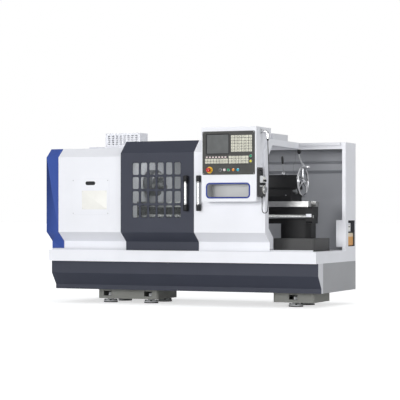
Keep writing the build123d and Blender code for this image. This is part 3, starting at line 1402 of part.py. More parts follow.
# Lubricator: an oil tank with its pump on top, hung on the niche's back
with BuildPart() as lubricator:
    unit_x = (niche_x + sheet, half_length - lubricator_margin)
    unit_y = (cutout_y + lubricator_margin, cutout_y + cutout_width - lubricator_margin)
    tank_z = niche_bottom_z + sheet + lubricator_lift
    unit_centre = ((unit_x[0] + unit_x[1]) / 2, (unit_y[0] + unit_y[1]) / 2)
    unit_size = (unit_x[1] - unit_x[0], unit_y[1] - unit_y[0])
    extrude(rounded(Plane.XY.offset(tank_z), *unit_size, tank_corner, unit_centre), tank_height)
    pump_size = (unit_size[0], unit_size[1] - 2 * tank_corner)
    pump = rounded(Plane.XY.offset(tank_z + tank_height), *pump_size, tank_corner / 2, unit_centre)
    extrude(pump, pump_height)
save(lubricator.part, "lubricator")
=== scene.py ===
import bmesh
import bpy
from math import cos, pi, radians, sin
from mathutils import Matrix, Vector
from mathutils.bvhtree import BVHTree


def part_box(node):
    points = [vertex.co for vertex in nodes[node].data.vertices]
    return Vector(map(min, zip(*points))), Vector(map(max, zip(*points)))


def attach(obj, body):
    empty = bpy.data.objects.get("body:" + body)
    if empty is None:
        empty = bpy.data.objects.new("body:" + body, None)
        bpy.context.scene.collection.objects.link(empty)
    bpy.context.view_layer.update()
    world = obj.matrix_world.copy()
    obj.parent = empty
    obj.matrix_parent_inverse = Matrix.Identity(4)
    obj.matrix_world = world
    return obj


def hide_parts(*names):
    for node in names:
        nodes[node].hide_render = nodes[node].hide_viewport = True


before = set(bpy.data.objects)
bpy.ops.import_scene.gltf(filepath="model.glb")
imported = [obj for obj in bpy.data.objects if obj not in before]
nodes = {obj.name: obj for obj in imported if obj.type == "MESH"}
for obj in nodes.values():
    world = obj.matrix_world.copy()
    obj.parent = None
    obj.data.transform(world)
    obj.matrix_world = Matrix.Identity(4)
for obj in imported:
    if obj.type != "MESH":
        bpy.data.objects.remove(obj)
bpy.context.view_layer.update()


def centre(name):
    """Middle of a CAD node's box."""
    lo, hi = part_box(name)
    return (lo + hi) / 2


def place(name, data):
    """A new object in the scene."""
    obj = bpy.data.objects.new(name, data)
    bpy.context.scene.collection.objects.link(obj)
    return obj


def islands(name):
    """Corner boxes of the separate solids in a CAD node, from the top row down and left to right."""
    bm = bmesh.new()
    bm.from_mesh(nodes[name].data)
    bmesh.ops.remove_doubles(bm, verts=bm.verts, dist=1e-5)
    boxes = []
    left = set(bm.verts)
    while left:
        stack = [left.pop()]
        found = []
        while stack:
            v = stack.pop()
            found.append(v.co.copy())
            for edge in v.link_edges:
                other = edge.other_vert(v)
                if other in left:
                    left.remove(other)
                    stack.append(other)
        lo = Vector([min(c[i] for c in found) for i in range(3)])
        hi = Vector([max(c[i] for c in found) for i in range(3)])
        boxes.append((lo, hi))
    bm.free()
    return sorted(boxes, key=lambda b: (round(-b[0].z, 3), round(b[0].x, 3), round(b[0].y, 3)))


def surface(name):
    """A CAD node's surface, ready for lines to be cast at it."""
    data = nodes[name].data
    return BVHTree.FromPolygons([v.co for v in data.vertices], [f.vertices for f in data.polygons])


def hit(tree, start, direction):
    """First point of a surface on a line."""
    return tree.ray_cast(Vector(start), Vector(direction))[0]


# Places read from the frame
spindle = centre("chuck_body")
screw = centre("z_ball_screw")
bed_lo, bed_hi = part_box("bed")
beam_lo, beam_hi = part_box("rear_guard")
tray_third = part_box("chip_tray")[1].x / 3
way_height = 0.050


# Materials
def lin(r, g, b):
    """Linear colour of an eight-bit one."""
    def one(v):
        v /= 255
        return v / 12.92 if v <= 0.04045 else ((v + 0.055) / 1.055) ** 2.4
    return (one(r), one(g), one(b), 1.0)


def shade(colour, k):
    """A lighter or darker tone of a colour."""
    return tuple(min(1, c * k) for c in colour[:3]) + (1.0,)


class Mat:
    """A node material in object coordinates with a few shared tricks."""

    def __init__(self, name, colour, rough=0.4, metal=0.0):
        self.m = bpy.data.materials.new(name)
        self.m.use_nodes = True
        self.t = self.m.node_tree
        self.b = self.t.nodes["Principled BSDF"]
        self.b.inputs["Base Color"].default_value = colour
        self.b.inputs["Roughness"].default_value = rough
        self.b.inputs["Metallic"].default_value = metal
        self.coord = self.t.nodes.new("ShaderNodeTexCoord").outputs["Object"]
        self.normal = None
        self.tone = None

    def join(self, value, socket):
        if isinstance(value, bpy.types.NodeSocket):
            self.t.links.new(value, socket)
        else:
            socket.default_value = value

    def node(self, kind, **inputs):
        n = self.t.nodes.new(kind)
        for key, value in inputs.items():
            self.join(value, n.inputs[key.replace("_", " ")])
        return n

    def math(self, operation, a, b=0.0):
        n = self.t.nodes.new("ShaderNodeMath")
        n.operation = operation
        self.join(a, n.inputs[0])
        self.join(b, n.inputs[1])
        return n.outputs[0]

    def axis(self, name):
        return self.node("ShaderNodeSeparateXYZ", Vector=self.coord).outputs[name]

    def noise(self, scale, detail=2.0, stretch=None):
        vector = self.coord
        if stretch:
            vector = self.node("ShaderNodeMapping", Vector=vector, Scale=stretch).outputs["Vector"]
        return self.node("ShaderNodeTexNoise", Vector=vector, Scale=scale, Detail=detail).outputs["Fac"]

    def ramp(self, fac, stops):
        n = self.node("ShaderNodeValToRGB", Fac=fac)
        while len(n.color_ramp.elements) < len(stops):
            n.color_ramp.elements.new(0.5)
        for e, (pos, col) in zip(n.color_ramp.elements, stops):
            e.position = pos
            e.color = col
        return n.outputs["Color"]

    def mix(self, fac, a, b, blend="MIX"):
        n = self.t.nodes.new("ShaderNodeMix")
        n.data_type = "RGBA"
        n.blend_type = blend
        self.join(fac, n.inputs[0])
        self.join(a, n.inputs[6])
        self.join(b, n.inputs[7])
        return n.outputs[2]

    def span(self, fac, low, high):
        return self.node("ShaderNodeMapRange", Value=fac, To_Min=low, To_Max=high).outputs["Result"]

    def base(self, socket):
        self.tone = socket
        self.t.links.new(socket, self.b.inputs["Base Color"])
        return self

    def roughness(self, fac, low, high):
        self.t.links.new(self.span(fac, low, high), self.b.inputs["Roughness"])
        return self

    def bump(self, height, strength, distance):
        n = self.node("ShaderNodeBump", Height=height, Strength=strength, Distance=distance)
        if self.normal is not None:
            self.t.links.new(self.normal, n.inputs["Normal"])
        self.normal = n.outputs["Normal"]
        self.t.links.new(self.normal, self.b.inputs["Normal"])
        return self

    def within(self, ranges):
        """One where a point lies inside every (axis, low, high) range, else zero."""
        mask = 1.0
        for axis, low, high in ranges:
            above = self.math("GREATER_THAN", self.axis(axis), low)
            below = self.math("LESS_THAN", self.axis(axis), high)
            mask = self.math("MULTIPLY", mask, self.math("MULTIPLY", above, below))
        return mask

    def seams(self, places, width=0.0011, depth=0.7):
        """Dark joint lines across an axis at the given places."""
        mask = None
        for name, value in places:
            off = self.math("ABSOLUTE", self.math("SUBTRACT", self.axis(name), value))
            line = self.math("LESS_THAN", off, width)
            mask = line if mask is None else self.math("MAXIMUM", mask, line)
        self.base(self.mix(self.math("MULTIPLY", mask, depth), self.tone, (0.03, 0.03, 0.035, 1)))
        return self


def enamel(name, colour, rough=0.38, peel=0.10, spread=0.03, corner_shade=0.22, gloss=0.4):
    """Paint with slow tone changes, painted shade in the corners and a fine peel."""
    m = Mat(name, colour, rough)
    tone = m.ramp(m.noise(2.3, 3), [(0.3, shade(colour, 1 - spread)), (0.7, shade(colour, 1 + spread))])
    # Painted shade: the colour darkens where an occlusion node finds nearby surfaces, in corners and creases.
    ao = m.node("ShaderNodeAmbientOcclusion", Distance=0.05)
    ao.samples = 6
    painted_corner_shade = m.ramp(ao.outputs["AO"], [(0.25, (1 - corner_shade,) * 3 + (1,)), (0.85, (1, 1, 1, 1))])
    m.base(m.mix(1.0, tone, painted_corner_shade, "MULTIPLY"))
    m.roughness(m.noise(6.0, 4), rough - 0.06, rough + 0.08)
    m.bump(m.noise(420.0, 1), peel, 0.0006)
    m.b.inputs["Specular IOR Level"].default_value = gloss
    return m


def metal(name, colour, rough, stretch, bump=0.08):
    """Bare metal with streaks drawn out along the tool's path."""
    m = Mat(name, colour, rough, 1.0)
    streak = m.noise(60.0, 4, stretch)
    m.base(m.ramp(streak, [(0.3, shade(colour, 0.86)), (0.7, shade(colour, 1.06))]))
    m.roughness(streak, rough - 0.07, rough + 0.1)
    m.bump(streak, bump, 0.0004)
    return m


def plastic(name, colour, rough=0.45, grain=0.12, gloss=0.3, spread=0.07):
    """Moulded plastic, film or rubber with a fine grain."""
    m = Mat(name, colour, rough)
    m.b.inputs["Specular IOR Level"].default_value = gloss
    m.base(m.ramp(m.noise(14.0, 3), [(0.35, shade(colour, 1 - spread)), (0.65, shade(colour, 1 + spread))]))
    m.roughness(m.noise(25.0, 3), rough - 0.05, rough + 0.08)
    m.bump(m.noise(900.0, 1), grain, 0.0003)
    return m


WHITE = enamel("white_enamel", lin(242, 243, 248))
WALL = enamel("wall_enamel", lin(228, 229, 234))
SLATE = enamel("slate_enamel", lin(64, 67, 79), 0.46, 0.16, 0.04, 0.22, 0.2)
TRIM = enamel("trim_enamel", lin(54, 70, 150), 0.42, 0.08, 0.04, 0.22, 0.15)
BLUE = enamel("blue_enamel", lin(66, 90, 164), 0.42, 0.10, 0.04, 0.22, 0.12)
GREY = enamel("grey_enamel", lin(138, 139, 134), 0.5, 0.2, 0.05, 0.35)
CAST = enamel("black_casting", lin(21, 21, 23), 0.5, 0.35, 0.12, 0.3, 0.3)
GROUND = metal("ground_steel", lin(214, 214, 212), 0.26, (0.4, 6.0, 6.0))
TURNED = metal("turned_steel", lin(196, 197, 199), 0.24, (14.0, 1.0, 1.0))
SCREW = metal("ball_screw_steel", lin(206, 207, 206), 0.22, (1.0, 6.0, 6.0))
CHUCK = metal("chuck_steel", lin(122, 123, 127), 0.3, (14.0, 1.0, 1.0))
CHROME = metal("polished_chrome", lin(222, 222, 224), 0.12, (2.0, 2.0, 2.0), 0.02)
TUBE = metal("brushed_tube", lin(208, 208, 207), 0.22, (8.0, 8.0, 0.5))
ZINC = metal("zinc_screw", lin(188, 190, 192), 0.34, (3.0, 3.0, 3.0))
GOLD = metal("coated_insert", lin(208, 168, 84), 0.3, (3.0, 3.0, 3.0))
IRON = metal("foot_iron", lin(196, 197, 198), 0.42, (3.0, 3.0, 3.0), 0.2)
BLACK = plastic("black_moulding", lin(30, 31, 33), 0.48, 0.2)
FILM = plastic("panel_film", lin(84, 84, 82), 0.5, 0.25, gloss=0.12)
FILM.seams([("Z", centre("estop_button").z + 0.046)], 0.0012, 0.55)
BEZEL = plastic("bezel_plastic", lin(60, 60, 61), 0.42, 0.15)
CREAM = plastic("key_cream", lin(228, 226, 210), 0.5, 0.1)
INK = plastic("key_mark", lin(92, 94, 90), 0.6, 0.05)
PLATE = plastic("bare_plate", lin(248, 247, 241), 0.36, 0.03, spread=0.015)
SHELL = plastic("pale_shell", lin(206, 208, 210), 0.42, 0.1)
SCREEN = plastic("screen_glass", lin(100, 102, 102), 0.3, 0.02, gloss=0.15)
RED = plastic("red_button", lin(206, 44, 34), 0.3, 0.03)
YELLOW = plastic("yellow_ring", lin(240, 190, 60), 0.38, 0.04)
LEMON = plastic("lemon_button", lin(214, 204, 64), 0.3, 0.03)
GREEN = plastic("green_button", lin(38, 160, 112), 0.3, 0.03)
ORANGE = plastic("amber_lamp", lin(236, 150, 62), 0.28, 0.03)
CYAN = plastic("blue_lamp", lin(46, 176, 200), 0.28, 0.03)
PALE = plastic("white_button", lin(232, 216, 214), 0.3, 0.03)
RUBBER = plastic("cable_rubber", lin(38, 38, 40), 0.6, 0.3)
# Dark plastic and rubber; the same colour is also painted into holes, slots and grooves as their shade.
DARK_AND_RECESS_SHADE = plastic("dark_plastic_and_recess_shade", lin(40, 41, 44), 0.55, 0.1)


def make_pane():
    """Clear pane: most light goes straight through, a little is mirrored by its smeared face."""
    m = Mat("door_pane", lin(232, 236, 236), 0.08)
    smear = m.noise(3.0, 4, (1.0, 1.0, 0.4))
    m.roughness(smear, 0.03, 0.14)
    m.base(m.ramp(smear, [(0.3, lin(140, 144, 144)), (0.7, lin(170, 174, 174))]))
    clear = m.node("ShaderNodeBsdfTransparent", Color=(0.90, 0.91, 0.91, 1))
    both = m.node("ShaderNodeMixShader", Fac=m.span(smear, 0.05, 0.13))
    m.t.links.new(clear.outputs["BSDF"], both.inputs[1])
    m.t.links.new(m.b.outputs["BSDF"], both.inputs[2])
    m.t.links.new(both.outputs["Shader"], m.t.nodes["Material Output"].inputs["Surface"])
    return m


def make_base():
    """Base panels: a pale strip at the front, mid grey behind it, jointed along the back."""
    m = Mat("base_panel_enamel", lin(172, 173, 176), 0.48)
    strip_depth = 0.129
    near = m.math("LESS_THAN", m.axis("Y"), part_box("base_panels")[0].y + strip_depth)
    tone = m.mix(near, lin(172, 173, 176), lin(224, 225, 230))
    speck = m.ramp(m.noise(3.0, 3), [(0.3, (0.95,) * 3 + (1,)), (0.7, (1.04,) * 3 + (1,))])
    m.base(m.mix(1.0, tone, speck, "MULTIPLY"))
    m.roughness(m.noise(6.0, 4), 0.42, 0.56)
    m.bump(m.noise(420.0, 1), 0.12, 0.0006)
    return m.seams([("X", -tray_third), ("X", tray_third)])


def make_rear():
    """Rear guard: grey wall with upright joints, and a white beam along its front."""
    m = enamel("rear_enamel", lin(180, 182, 187), 0.5, 0.14, 0.05, 0.3)
    joints = (0.16, 0.74)
    m.seams([("X", x) for x in joints])
    front = m.math("LESS_THAN", m.axis("Y"), beam_lo.y + 0.012)
    return m.base(m.mix(front, m.tone, lin(242, 243, 248)))


def make_pedestal():
    """Pedestals: grey below the chip tray, painted dark above it as the shade behind the doors."""
    m = enamel("pedestal_enamel", lin(138, 139, 134), 0.5, 0.2, 0.05, 0.35)
    # Painted shade: above the chip tray the grey is swapped for a dark tone that stands in for shadow.
    high = m.math("GREATER_THAN", m.axis("Z"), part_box("chip_tray")[0].z + 0.004)
    return m.base(m.mix(high, m.tone, lin(72, 72, 72)))


def make_control_box():
    """White box whose pocket is painted grey as shade, darkest near its left wall."""
    m = enamel("box_enamel", lin(242, 243, 248))
    lo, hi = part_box("pocket_trim")
    # Painted shade: the pocket's inside is grey, darker towards its left wall.
    reach = m.node("ShaderNodeMapRange", Value=m.axis("X"), From_Min=lo.x, From_Max=hi.x)
    painted_pocket_shade = m.ramp(reach.outputs["Result"], [(0.02, lin(176, 177, 178)), (0.4, lin(208, 209, 210))])
    rim = 0.004
    pocket = m.within([("X", lo.x + rim, hi.x - rim), ("Y", hi.y + 0.001, hi.y + 0.2),
                       ("Z", lo.z + rim, hi.z - rim)])
    return m.base(m.mix(pocket, m.tone, painted_pocket_shade))


def make_end_wall():
    """White wall whose lubricator niche is painted dark inside as shade."""
    m = enamel("end_wall_enamel", lin(242, 243, 248))
    lo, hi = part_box("lubricator")
    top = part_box("right_end_wall")[1].x
    # Painted shade: the inside of the niche is darkened.
    painted_niche_shade = m.within([("X", lo.x - 0.002, top - 0.001), ("Y", lo.y - 0.0112, hi.y + 0.0112),
                      ("Z", lo.z - 0.005, hi.z + 0.05)])
    return m.base(m.mix(painted_niche_shade, m.tone, lin(84, 85, 90)))


def make_bed():
    """Black casting whose ways are ground bright."""
    m = enamel("bed_casting", lin(20, 20, 22), 0.5, 0.35, 0.12, 0.3, 0.3)
    way = m.math("GREATER_THAN", m.axis("Z"), bed_hi.z - way_height - 0.0005)
    front = m.math("GREATER_THAN", m.axis("X"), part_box("headstock")[1].x)
    mask = m.math("MULTIPLY", way, front)
    streak = m.noise(60.0, 4, (0.4, 6.0, 6.0))
    steel = m.ramp(streak, [(0.3, lin(172, 172, 171)), (0.7, lin(206, 206, 204))])
    m.base(m.mix(mask, m.tone, steel))
    m.t.links.new(mask, m.b.inputs["Metallic"])
    m.t.links.new(m.span(mask, 0.5, 0.38), m.b.inputs["Roughness"])
    return m


def make_tank():
    """Amber oil behind a translucent tank wall."""
    m = Mat("oil_tank", lin(238, 196, 132), 0.3)
    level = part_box("lubricator")[0].z + 0.083
    full = m.node("ShaderNodeMapRange", Value=m.axis("Z"), From_Min=level, From_Max=level + 0.006)
    m.base(m.mix(full.outputs["Result"], lin(232, 172, 92), lin(244, 228, 200)))
    m.b.inputs["Subsurface Weight"].default_value = 0.2
    m.b.inputs["Subsurface Scale"].default_value = 0.01
    m.roughness(m.noise(20.0, 3), 0.24, 0.36)
    m.bump(m.noise(200.0, 2), 0.05, 0.0005)
    return m


def make_thread():
    """Threaded stud: turned steel with fine rings."""
    m = metal("stud_thread", lin(176, 178, 180), 0.34, (3.0, 3.0, 3.0))
    m.bump(m.math("SINE", m.math("MULTIPLY", m.axis("Z"), 2 * pi / 0.002)), 0.7, 0.0008)
    return m


PANE = make_pane()
BASE = make_base()
BACK = make_rear()
BED = make_bed()
CASE = make_control_box()
END = make_end_wall()
STAND = make_pedestal()
TANK = make_tank()
THREAD = make_thread()

# Nodes that are seen as they are; the pieces below stand for the others
NODE_MATERIALS = (
    (STAND, "left_pedestal right_pedestal"), (BED, "bed"), (BASE, "base_panels"), (BACK, "rear_guard"),
    (WHITE, "chip_tray headstock_cover access_panel spindle_partition resistor_box right_door"),
    (SLATE, "front_skirt left_door"), (WALL, "electrical_cabinet guard_rails cable_duct"),
    (GREY, "headstock main_motor"), (END, "right_end_wall"), (RUBBER, "drive_belt"),
    (TURNED, "spindle_bearings spindle tool_turret quill"), (CHUCK, "chuck_body"),
    (GROUND, "chuck_jaw_1 chuck_jaw_2 chuck_jaw_3"),
    (CAST, "screw_brackets spindle_pulley motor_pulley saddle cross_slide tailstock_base tailstock_body"),
    (PANE, "door_window"), (CASE, "control_box"), (FILM, "control_panel"), (SCREEN, "lcd_screen"),
    (TRIM, "pocket_trim"),
)
for material, names in NODE_MATERIALS:
    for name in names.split():
        data = nodes[name].data
        data.materials.clear()
        data.materials.append(material.m)


# Mesh helpers
SHARP_ANGLE = 32


def rounded_loop(plane, middle, half, corner, lift, seg):
    """Points of a rounded rectangle on a plane given by its right, up and outward directions."""
    right, up, out = plane
    w, h = half
    c = max(min(corner, w, h), 1e-5)
    points = []
    for sx, sy, start in ((1, 1, 0), (-1, 1, 90), (-1, -1, 180), (1, -1, 270)):
        for k in range(seg + 1):
            a = radians(start + 90 * k / seg)
            across = sx * (w - c) + c * cos(a)
            along = sy * (h - c) + c * sin(a)
            points.append(Vector(middle) + right * across + up * along + out * lift)
    return points


class Piece:
    """One visual piece: a mesh with a few materials that rides on a CAD body."""

    def __init__(self, name, body, slot, main):
        self.name = name
        self.body = body
        self.slot = slot
        self.mats = [main]
        self.bm = bmesh.new()

    def add(self, make, m=None):
        """Run a maker of faces and give what is new a material, or else the piece's main one."""
        m = m or self.mats[0]
        if m not in self.mats:
            self.mats.append(m)
        before = set(self.bm.faces)
        make()
        for f in self.bm.faces:
            if f not in before:
                f.material_index = self.mats.index(m)
                f.smooth = True

    def strip(self, loops, closed=False):
        """Faces between loops of equal length."""
        for a, b in zip(loops, loops[1:] + (loops[:1] if closed else [])):
            for k in range(len(a)):
                n = (k + 1) % len(a)
                self.bm.faces.new((a[k], a[n], b[n], b[k]))

    def box(self, lo, hi, r=0.0, m=None, seg=2):
        """A box between two corners, its edges rounded by a radius."""
        lo = Vector(lo)
        hi = Vector(hi)

        def make():
            fit = Matrix.Translation((lo + hi) / 2) @ Matrix.Diagonal((*(hi - lo), 1))
            verts = bmesh.ops.create_cube(self.bm, size=1.0, matrix=fit)["verts"]
            if r:
                edges = list({e for v in verts for e in v.link_edges})
                bmesh.ops.bevel(self.bm, geom=edges, offset=r, segments=seg, affect="EDGES", profile=0.5)
        self.add(make, m)

    def lathe(self, base, axis, profile, m=None, seg=40):
        """Revolve (along, radius) pairs round an axis; ends with radius 0 close the form."""
        base = Vector(base)
        axis = Vector(axis).normalized()
        side = axis.orthogonal().normalized()
        up = axis.cross(side)
        spokes = [side * cos(2 * pi * k / seg) + up * sin(2 * pi * k / seg) for k in range(seg)]

        def make():
            rings = []
            for along, radius in profile:
                middle = base + axis * along
                if radius < 1e-7:
                    rings.append([self.bm.verts.new(middle)])
                else:
                    rings.append([self.bm.verts.new(middle + s * radius) for s in spokes])
            for a, b in zip(rings, rings[1:]):
                for k in range(seg):
                    n = (k + 1) % seg
                    quad = [a[k % len(a)], a[n % len(a)], b[n % len(b)], b[k % len(b)]]
                    face = list(dict.fromkeys(quad))
                    if len(face) > 2:
                        self.bm.faces.new(face)
        self.add(make, m)

    def rod(self, a, b, r, r2=None, m=None, seg=24, edge=0.0):
        """A round bar or cone between two points, its ends chamfered."""
        a = Vector(a)
        b = Vector(b)
        r2 = r if r2 is None else r2
        length = (b - a).length
        e = min(edge, r * 0.6, r2 * 0.6, length * 0.4)
        line = [(0, 0), (0, r - e), (e, r), (length - e, r2), (length, r2 - e), (length, 0)]
        if not e:
            line = [(0, 0), (0, r), (length, r2), (length, 0)]
        self.lathe(a, b - a, line, m, seg)

    def ring(self, middle, axis, big, small, m=None, seg=72, sides=16):
        """A round bar bent into a ring."""
        turn = [2 * pi * k / sides for k in range(sides + 1)]
        self.lathe(middle, axis, [(small * sin(a), big + small * cos(a)) for a in turn], m, seg)

    def rims(self, plane, middle, size, corner, steps, seg):
        """New rounded rectangles, one for each (growth all round, lift) step."""
        loops = []
        for grow, lift in steps:
            half = (size[0] / 2 + grow, size[1] / 2 + grow)
            points = rounded_loop(plane, middle, half, corner + grow, lift, seg)
            loops.append([self.bm.verts.new(q) for q in points])
        return loops

    def slab(self, plane, middle, size, corner, depth, m=None, edge=0.0, seg=6):
        """A rounded rectangular plate that stands out from a plane."""
        steps = [(0, 0), (0, depth - edge)]
        if edge:
            steps += [(-edge * 0.3, depth - edge * 0.3), (-edge, depth)]

        def make():
            loops = self.rims(plane, middle, size, corner, steps, seg)
            self.strip(loops)
            self.bm.faces.new(loops[-1])
            self.bm.faces.new(loops[0][::-1])
        self.add(make, m)

    def frame_ring(self, plane, middle, size, corner, band, depth, m=None, seg=6):
        """A rounded rectangular ring of the given band width round an opening."""
        e = min(depth, band) * 0.35
        steps = [(0, 0), (0, depth - e), (e, depth), (band - e, depth), (band, depth - e), (band, 0)]
        self.add(lambda: self.strip(self.rims(plane, middle, size, corner, steps, seg), True), m)

    def sweep(self, points, radius, side, m=None, seg=20):
        """A round bar along points that lie square to the side direction."""
        side = Vector(side)

        def make():
            rings = []
            for k, c in enumerate(points):
                ahead = points[min(k + 1, len(points) - 1)] - points[max(k - 1, 0)]
                up = ahead.normalized().cross(side).normalized()
                r = radius[k] if isinstance(radius, list) else radius
                turn = [2 * pi * j / seg for j in range(seg)]
                rings.append([self.bm.verts.new(c + (side * cos(a) + up * sin(a)) * r) for a in turn])
            self.strip(rings)
            self.bm.faces.new(rings[0][::-1])
            self.bm.faces.new(rings[-1])
        self.add(make, m)

    def cut_from(self, name, cuts):
        """The mesh of a CAD node less the forms of another piece."""
        bmesh.ops.recalc_face_normals(cuts.bm, faces=cuts.bm.faces)
        whole = bmesh.new()
        whole.from_mesh(nodes[name].data)
        bmesh.ops.remove_doubles(whole, verts=whole.verts, dist=1e-5)
        pair = []
        for form in (whole, cuts.bm):
            mesh = bpy.data.meshes.new("cut_form")
            form.to_mesh(mesh)
            form.free()
            pair.append(place("cut_form", mesh))
        change = pair[0].modifiers.new("cut", "BOOLEAN")
        change.operation = "DIFFERENCE"
        change.solver = "EXACT"
        change.object = pair[1]
        ready = pair[0].evaluated_get(bpy.context.evaluated_depsgraph_get())
        self.add(lambda: self.bm.from_mesh(ready.to_mesh()))
        for obj in pair:
            bpy.data.objects.remove(obj)

    def done(self, replaces=()):
        """Turns the mesh into an object that rides on its body and stands for the nodes it replaces."""
        bmesh.ops.recalc_face_normals(self.bm, faces=self.bm.faces)
        mesh = bpy.data.meshes.new(self.name)
        self.bm.to_mesh(mesh)
        self.bm.free()
        for m in self.mats:
            mesh.materials.append(m.m)
        mesh.set_sharp_from_angle(angle=radians(SHARP_ANGLE))
        obj = place(self.name, mesh)
        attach(obj, self.body)
        if replaces:
            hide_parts(*replaces)


X = Vector((1, 0, 0))
Y = Vector((0, 1, 0))
Z = Vector((0, 0, 1))
FRONT = (X, Z, -Y)
RIGHT = (Y, Z, X)
LEFT = (-Y, Z, -X)
REAR = (-X, Z, Y)
TOP = (X, Y, Z)


def corners(plane, middle, half, lift=0.0):
    """Four corner points of a rectangle on a plane."""
    right, up, out = plane
    start = Vector(middle) + out * lift
    return [start + right * half[0] * i + up * half[1] * j for i in (-1, 1) for j in (-1, 1)]


def spoke(plane, degrees):
    """Outward and sideways directions at an angle on a plane."""
    right, up, _ = plane
    a = radians(degrees)
    return right * cos(a) + up * sin(a), up * cos(a) - right * sin(a)


def on_spindle(x):
    """A point of the spindle's axis."""
    return Vector((x, spindle.y, spindle.z))


def cap_screw(p, at, axis, r=0.005, h=0.004):
    """A zinc-plated socket-head screw with its recess."""
    line = [(0, r), (h * 0.7, r), (h, r * 0.82), (h, r * 0.5), (h * 0.4, r * 0.5), (h * 0.4, 0)]
    p.lathe(at, axis, line, ZINC, 14)


def pan_screw(p, at, axis, r):
    """A zinc-plated round-headed screw."""
    line = [(0, r), (r * 0.25, r * 0.96), (r * 0.5, r * 0.7), (r * 0.6, r * 0.3), (r * 0.6, 0)]
    p.lathe(at, axis, line, ZINC, 14)


def ticks(p, start, radius, count, long, m):
    """Graduation marks round a cylinder along X, from one end of it."""
    for k in range(count):
        out, side = spoke(RIGHT, 360 * k / count)
        length = long if k % 5 == 0 else long * 0.6
        at = start + X * length / 2 + out * radius
        p.slab((side, X, out), at, (0.0008, length), 0.0002, 0.0004, m, 0, 1)


# Door handles: a bright tube between two moulded ends
end_height = 0.062
tube_collar = 0.004
for side in ("left", "right"):
    lo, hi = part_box(side + "_handle")
    tube = Vector(((lo.x + hi.x) / 2, lo.y + 0.0176, 0))
    p = Piece(side + "_door_handle", side + "_guard", "black_plastic", BLACK)
    for z in (lo.z, hi.z - end_height):
        p.box((lo.x, lo.y, z), (hi.x, hi.y, z + end_height), 0.009, BLACK, 3)
    p.rod(tube + Z * (lo.z + 0.03), tube + Z * (hi.z - 0.03), 0.0160, m=TUBE, seg=40)
    for z in (lo.z + end_height, hi.z - end_height - tube_collar):
        p.rod(tube + Z * z, tube + Z * (z + tube_collar), 0.0174, m=BLACK, seg=40, edge=0.001)
    p.done((side + "_handle",))

# Rubber edging round each opening of the door window
glass = centre("door_window")
glass.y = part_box("door_window")[0].y
pane_columns = 6
pane_rows = 4
pane_pitch = (0.0852, 0.1315)
pane_size = (0.0606, 0.1106)
p = Piece("pane_edging", "left_guard", "black_plastic", DARK_AND_RECESS_SHADE)
for i in range(pane_columns):
    for j in range(pane_rows):
        across = (i - (pane_columns - 1) / 2) * pane_pitch[0]
        along = (j - (pane_rows - 1) / 2) * pane_pitch[1]
        p.frame_ring(FRONT, glass + X * across + Z * along, pane_size, 0.0133, 0.0025, 0.0024, DARK_AND_RECESS_SHADE, 4)
p.done()

# Panel keys. Each mark is across, along, width and height as shares of its key; width 0 makes a square.
MARKS = (((0, 0, 0.45, 0.13),), ((0, 0.12, 0.32, 0.12), (0, -0.18, 0.5, 0.09)),
         ((0, 0, 0, 0.34),), ((-0.14, 0, 0.16, 0.3), (0.16, 0, 0.16, 0.3)))
key_height = 0.0022
soft_key_width = 0.02
panel_lo, panel_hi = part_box("control_panel")
key_boxes = islands("panel_keys")
face = max(b[1].y for b in key_boxes)
p = Piece("panel_key_caps", "right_guard", "keys", CREAM)
for number, (lo, hi) in enumerate(key_boxes):
    soft = hi.x - lo.x < soft_key_width
    w = hi.x - lo.x - (0.0 if soft else 0.0022)
    h = hi.z - lo.z - (0.0 if soft else 0.0020)
    key = (lo + hi) / 2
    key.y = face
    p.slab(FRONT, key, (w, h), 0.002, key_height, PALE if soft else CREAM, 0.0008, 3)
    marks = () if soft else MARKS[(number * 7 + number // 6) % len(MARKS)]
    for across, along, wide, high in marks:
        at = key - Y * key_height + X * w * across + Z * h * along
        if wide:
            p.slab(FRONT, at, (w * wide, h * high), 0.0003, 0.00012, INK, 0, 1)
        else:
            p.slab(FRONT, at, (h * high, h * high), 0.001, 0.00012, INK, 0, 2)
p.done(("panel_keys",))


def on_panel(name):
    """A button's middle on the panel's face."""
    at = centre(name)
    at.y = face
    return at


# Screen frame, collars, lamps and screws of the control panel
screen_lo, screen_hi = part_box("lcd_screen")
p = Piece("panel_fittings", "right_guard", "panel_face", IRON)
screen_size = (screen_hi.x - screen_lo.x - 0.006, screen_hi.z - screen_lo.z - 0.006)
p.frame_ring(FRONT, on_panel("lcd_screen"), screen_size, 0.004, 0.007, 0.003, DARK_AND_RECESS_SHADE)
screw_half = ((panel_hi.x - panel_lo.x) / 2 - 0.010, (panel_hi.z - panel_lo.z) / 2 - 0.010)
for at in corners(FRONT, on_panel("control_panel"), screw_half):
    pan_screw(p, at, -Y, 0.0042)
collar = [(0, 0.0142), (0.0016, 0.0140), (0.0030, 0.0130), (0.0030, 0.0124), (0.0004, 0.0122)]
for name in ("button_white", "button_green", "start_button", "hold_button", "key_switch"):
    p.lathe(on_panel(name), -Y, collar, IRON, 40)
stop = on_panel("estop_button")
stop_ring = [(0, 0.0302), (0.0034, 0.0302), (0.0046, 0.029), (0.0046, 0.0125), (0.003, 0.0122)]
p.lathe(stop, -Y, stop_ring, YELLOW, 56)
lamp_collar = [(0, 0.0142), (0.0018, 0.014), (0.003, 0.0134), (0.003, 0.0118)]
lamp = [(0.002, 0.0126), (0.0095, 0.0122), (0.0112, 0.011), (0.0121, 0.006), (0.0122, 0)]
for share, m in ((0.596, ORANGE), (0.683, CYAN)):
    at = (panel_lo.x + (panel_hi.x - panel_lo.x) * share, face, stop.z)
    p.lathe(at, -Y, lamp_collar, IRON, 40)
    p.lathe(at, -Y, lamp, m, 40)
p.done()

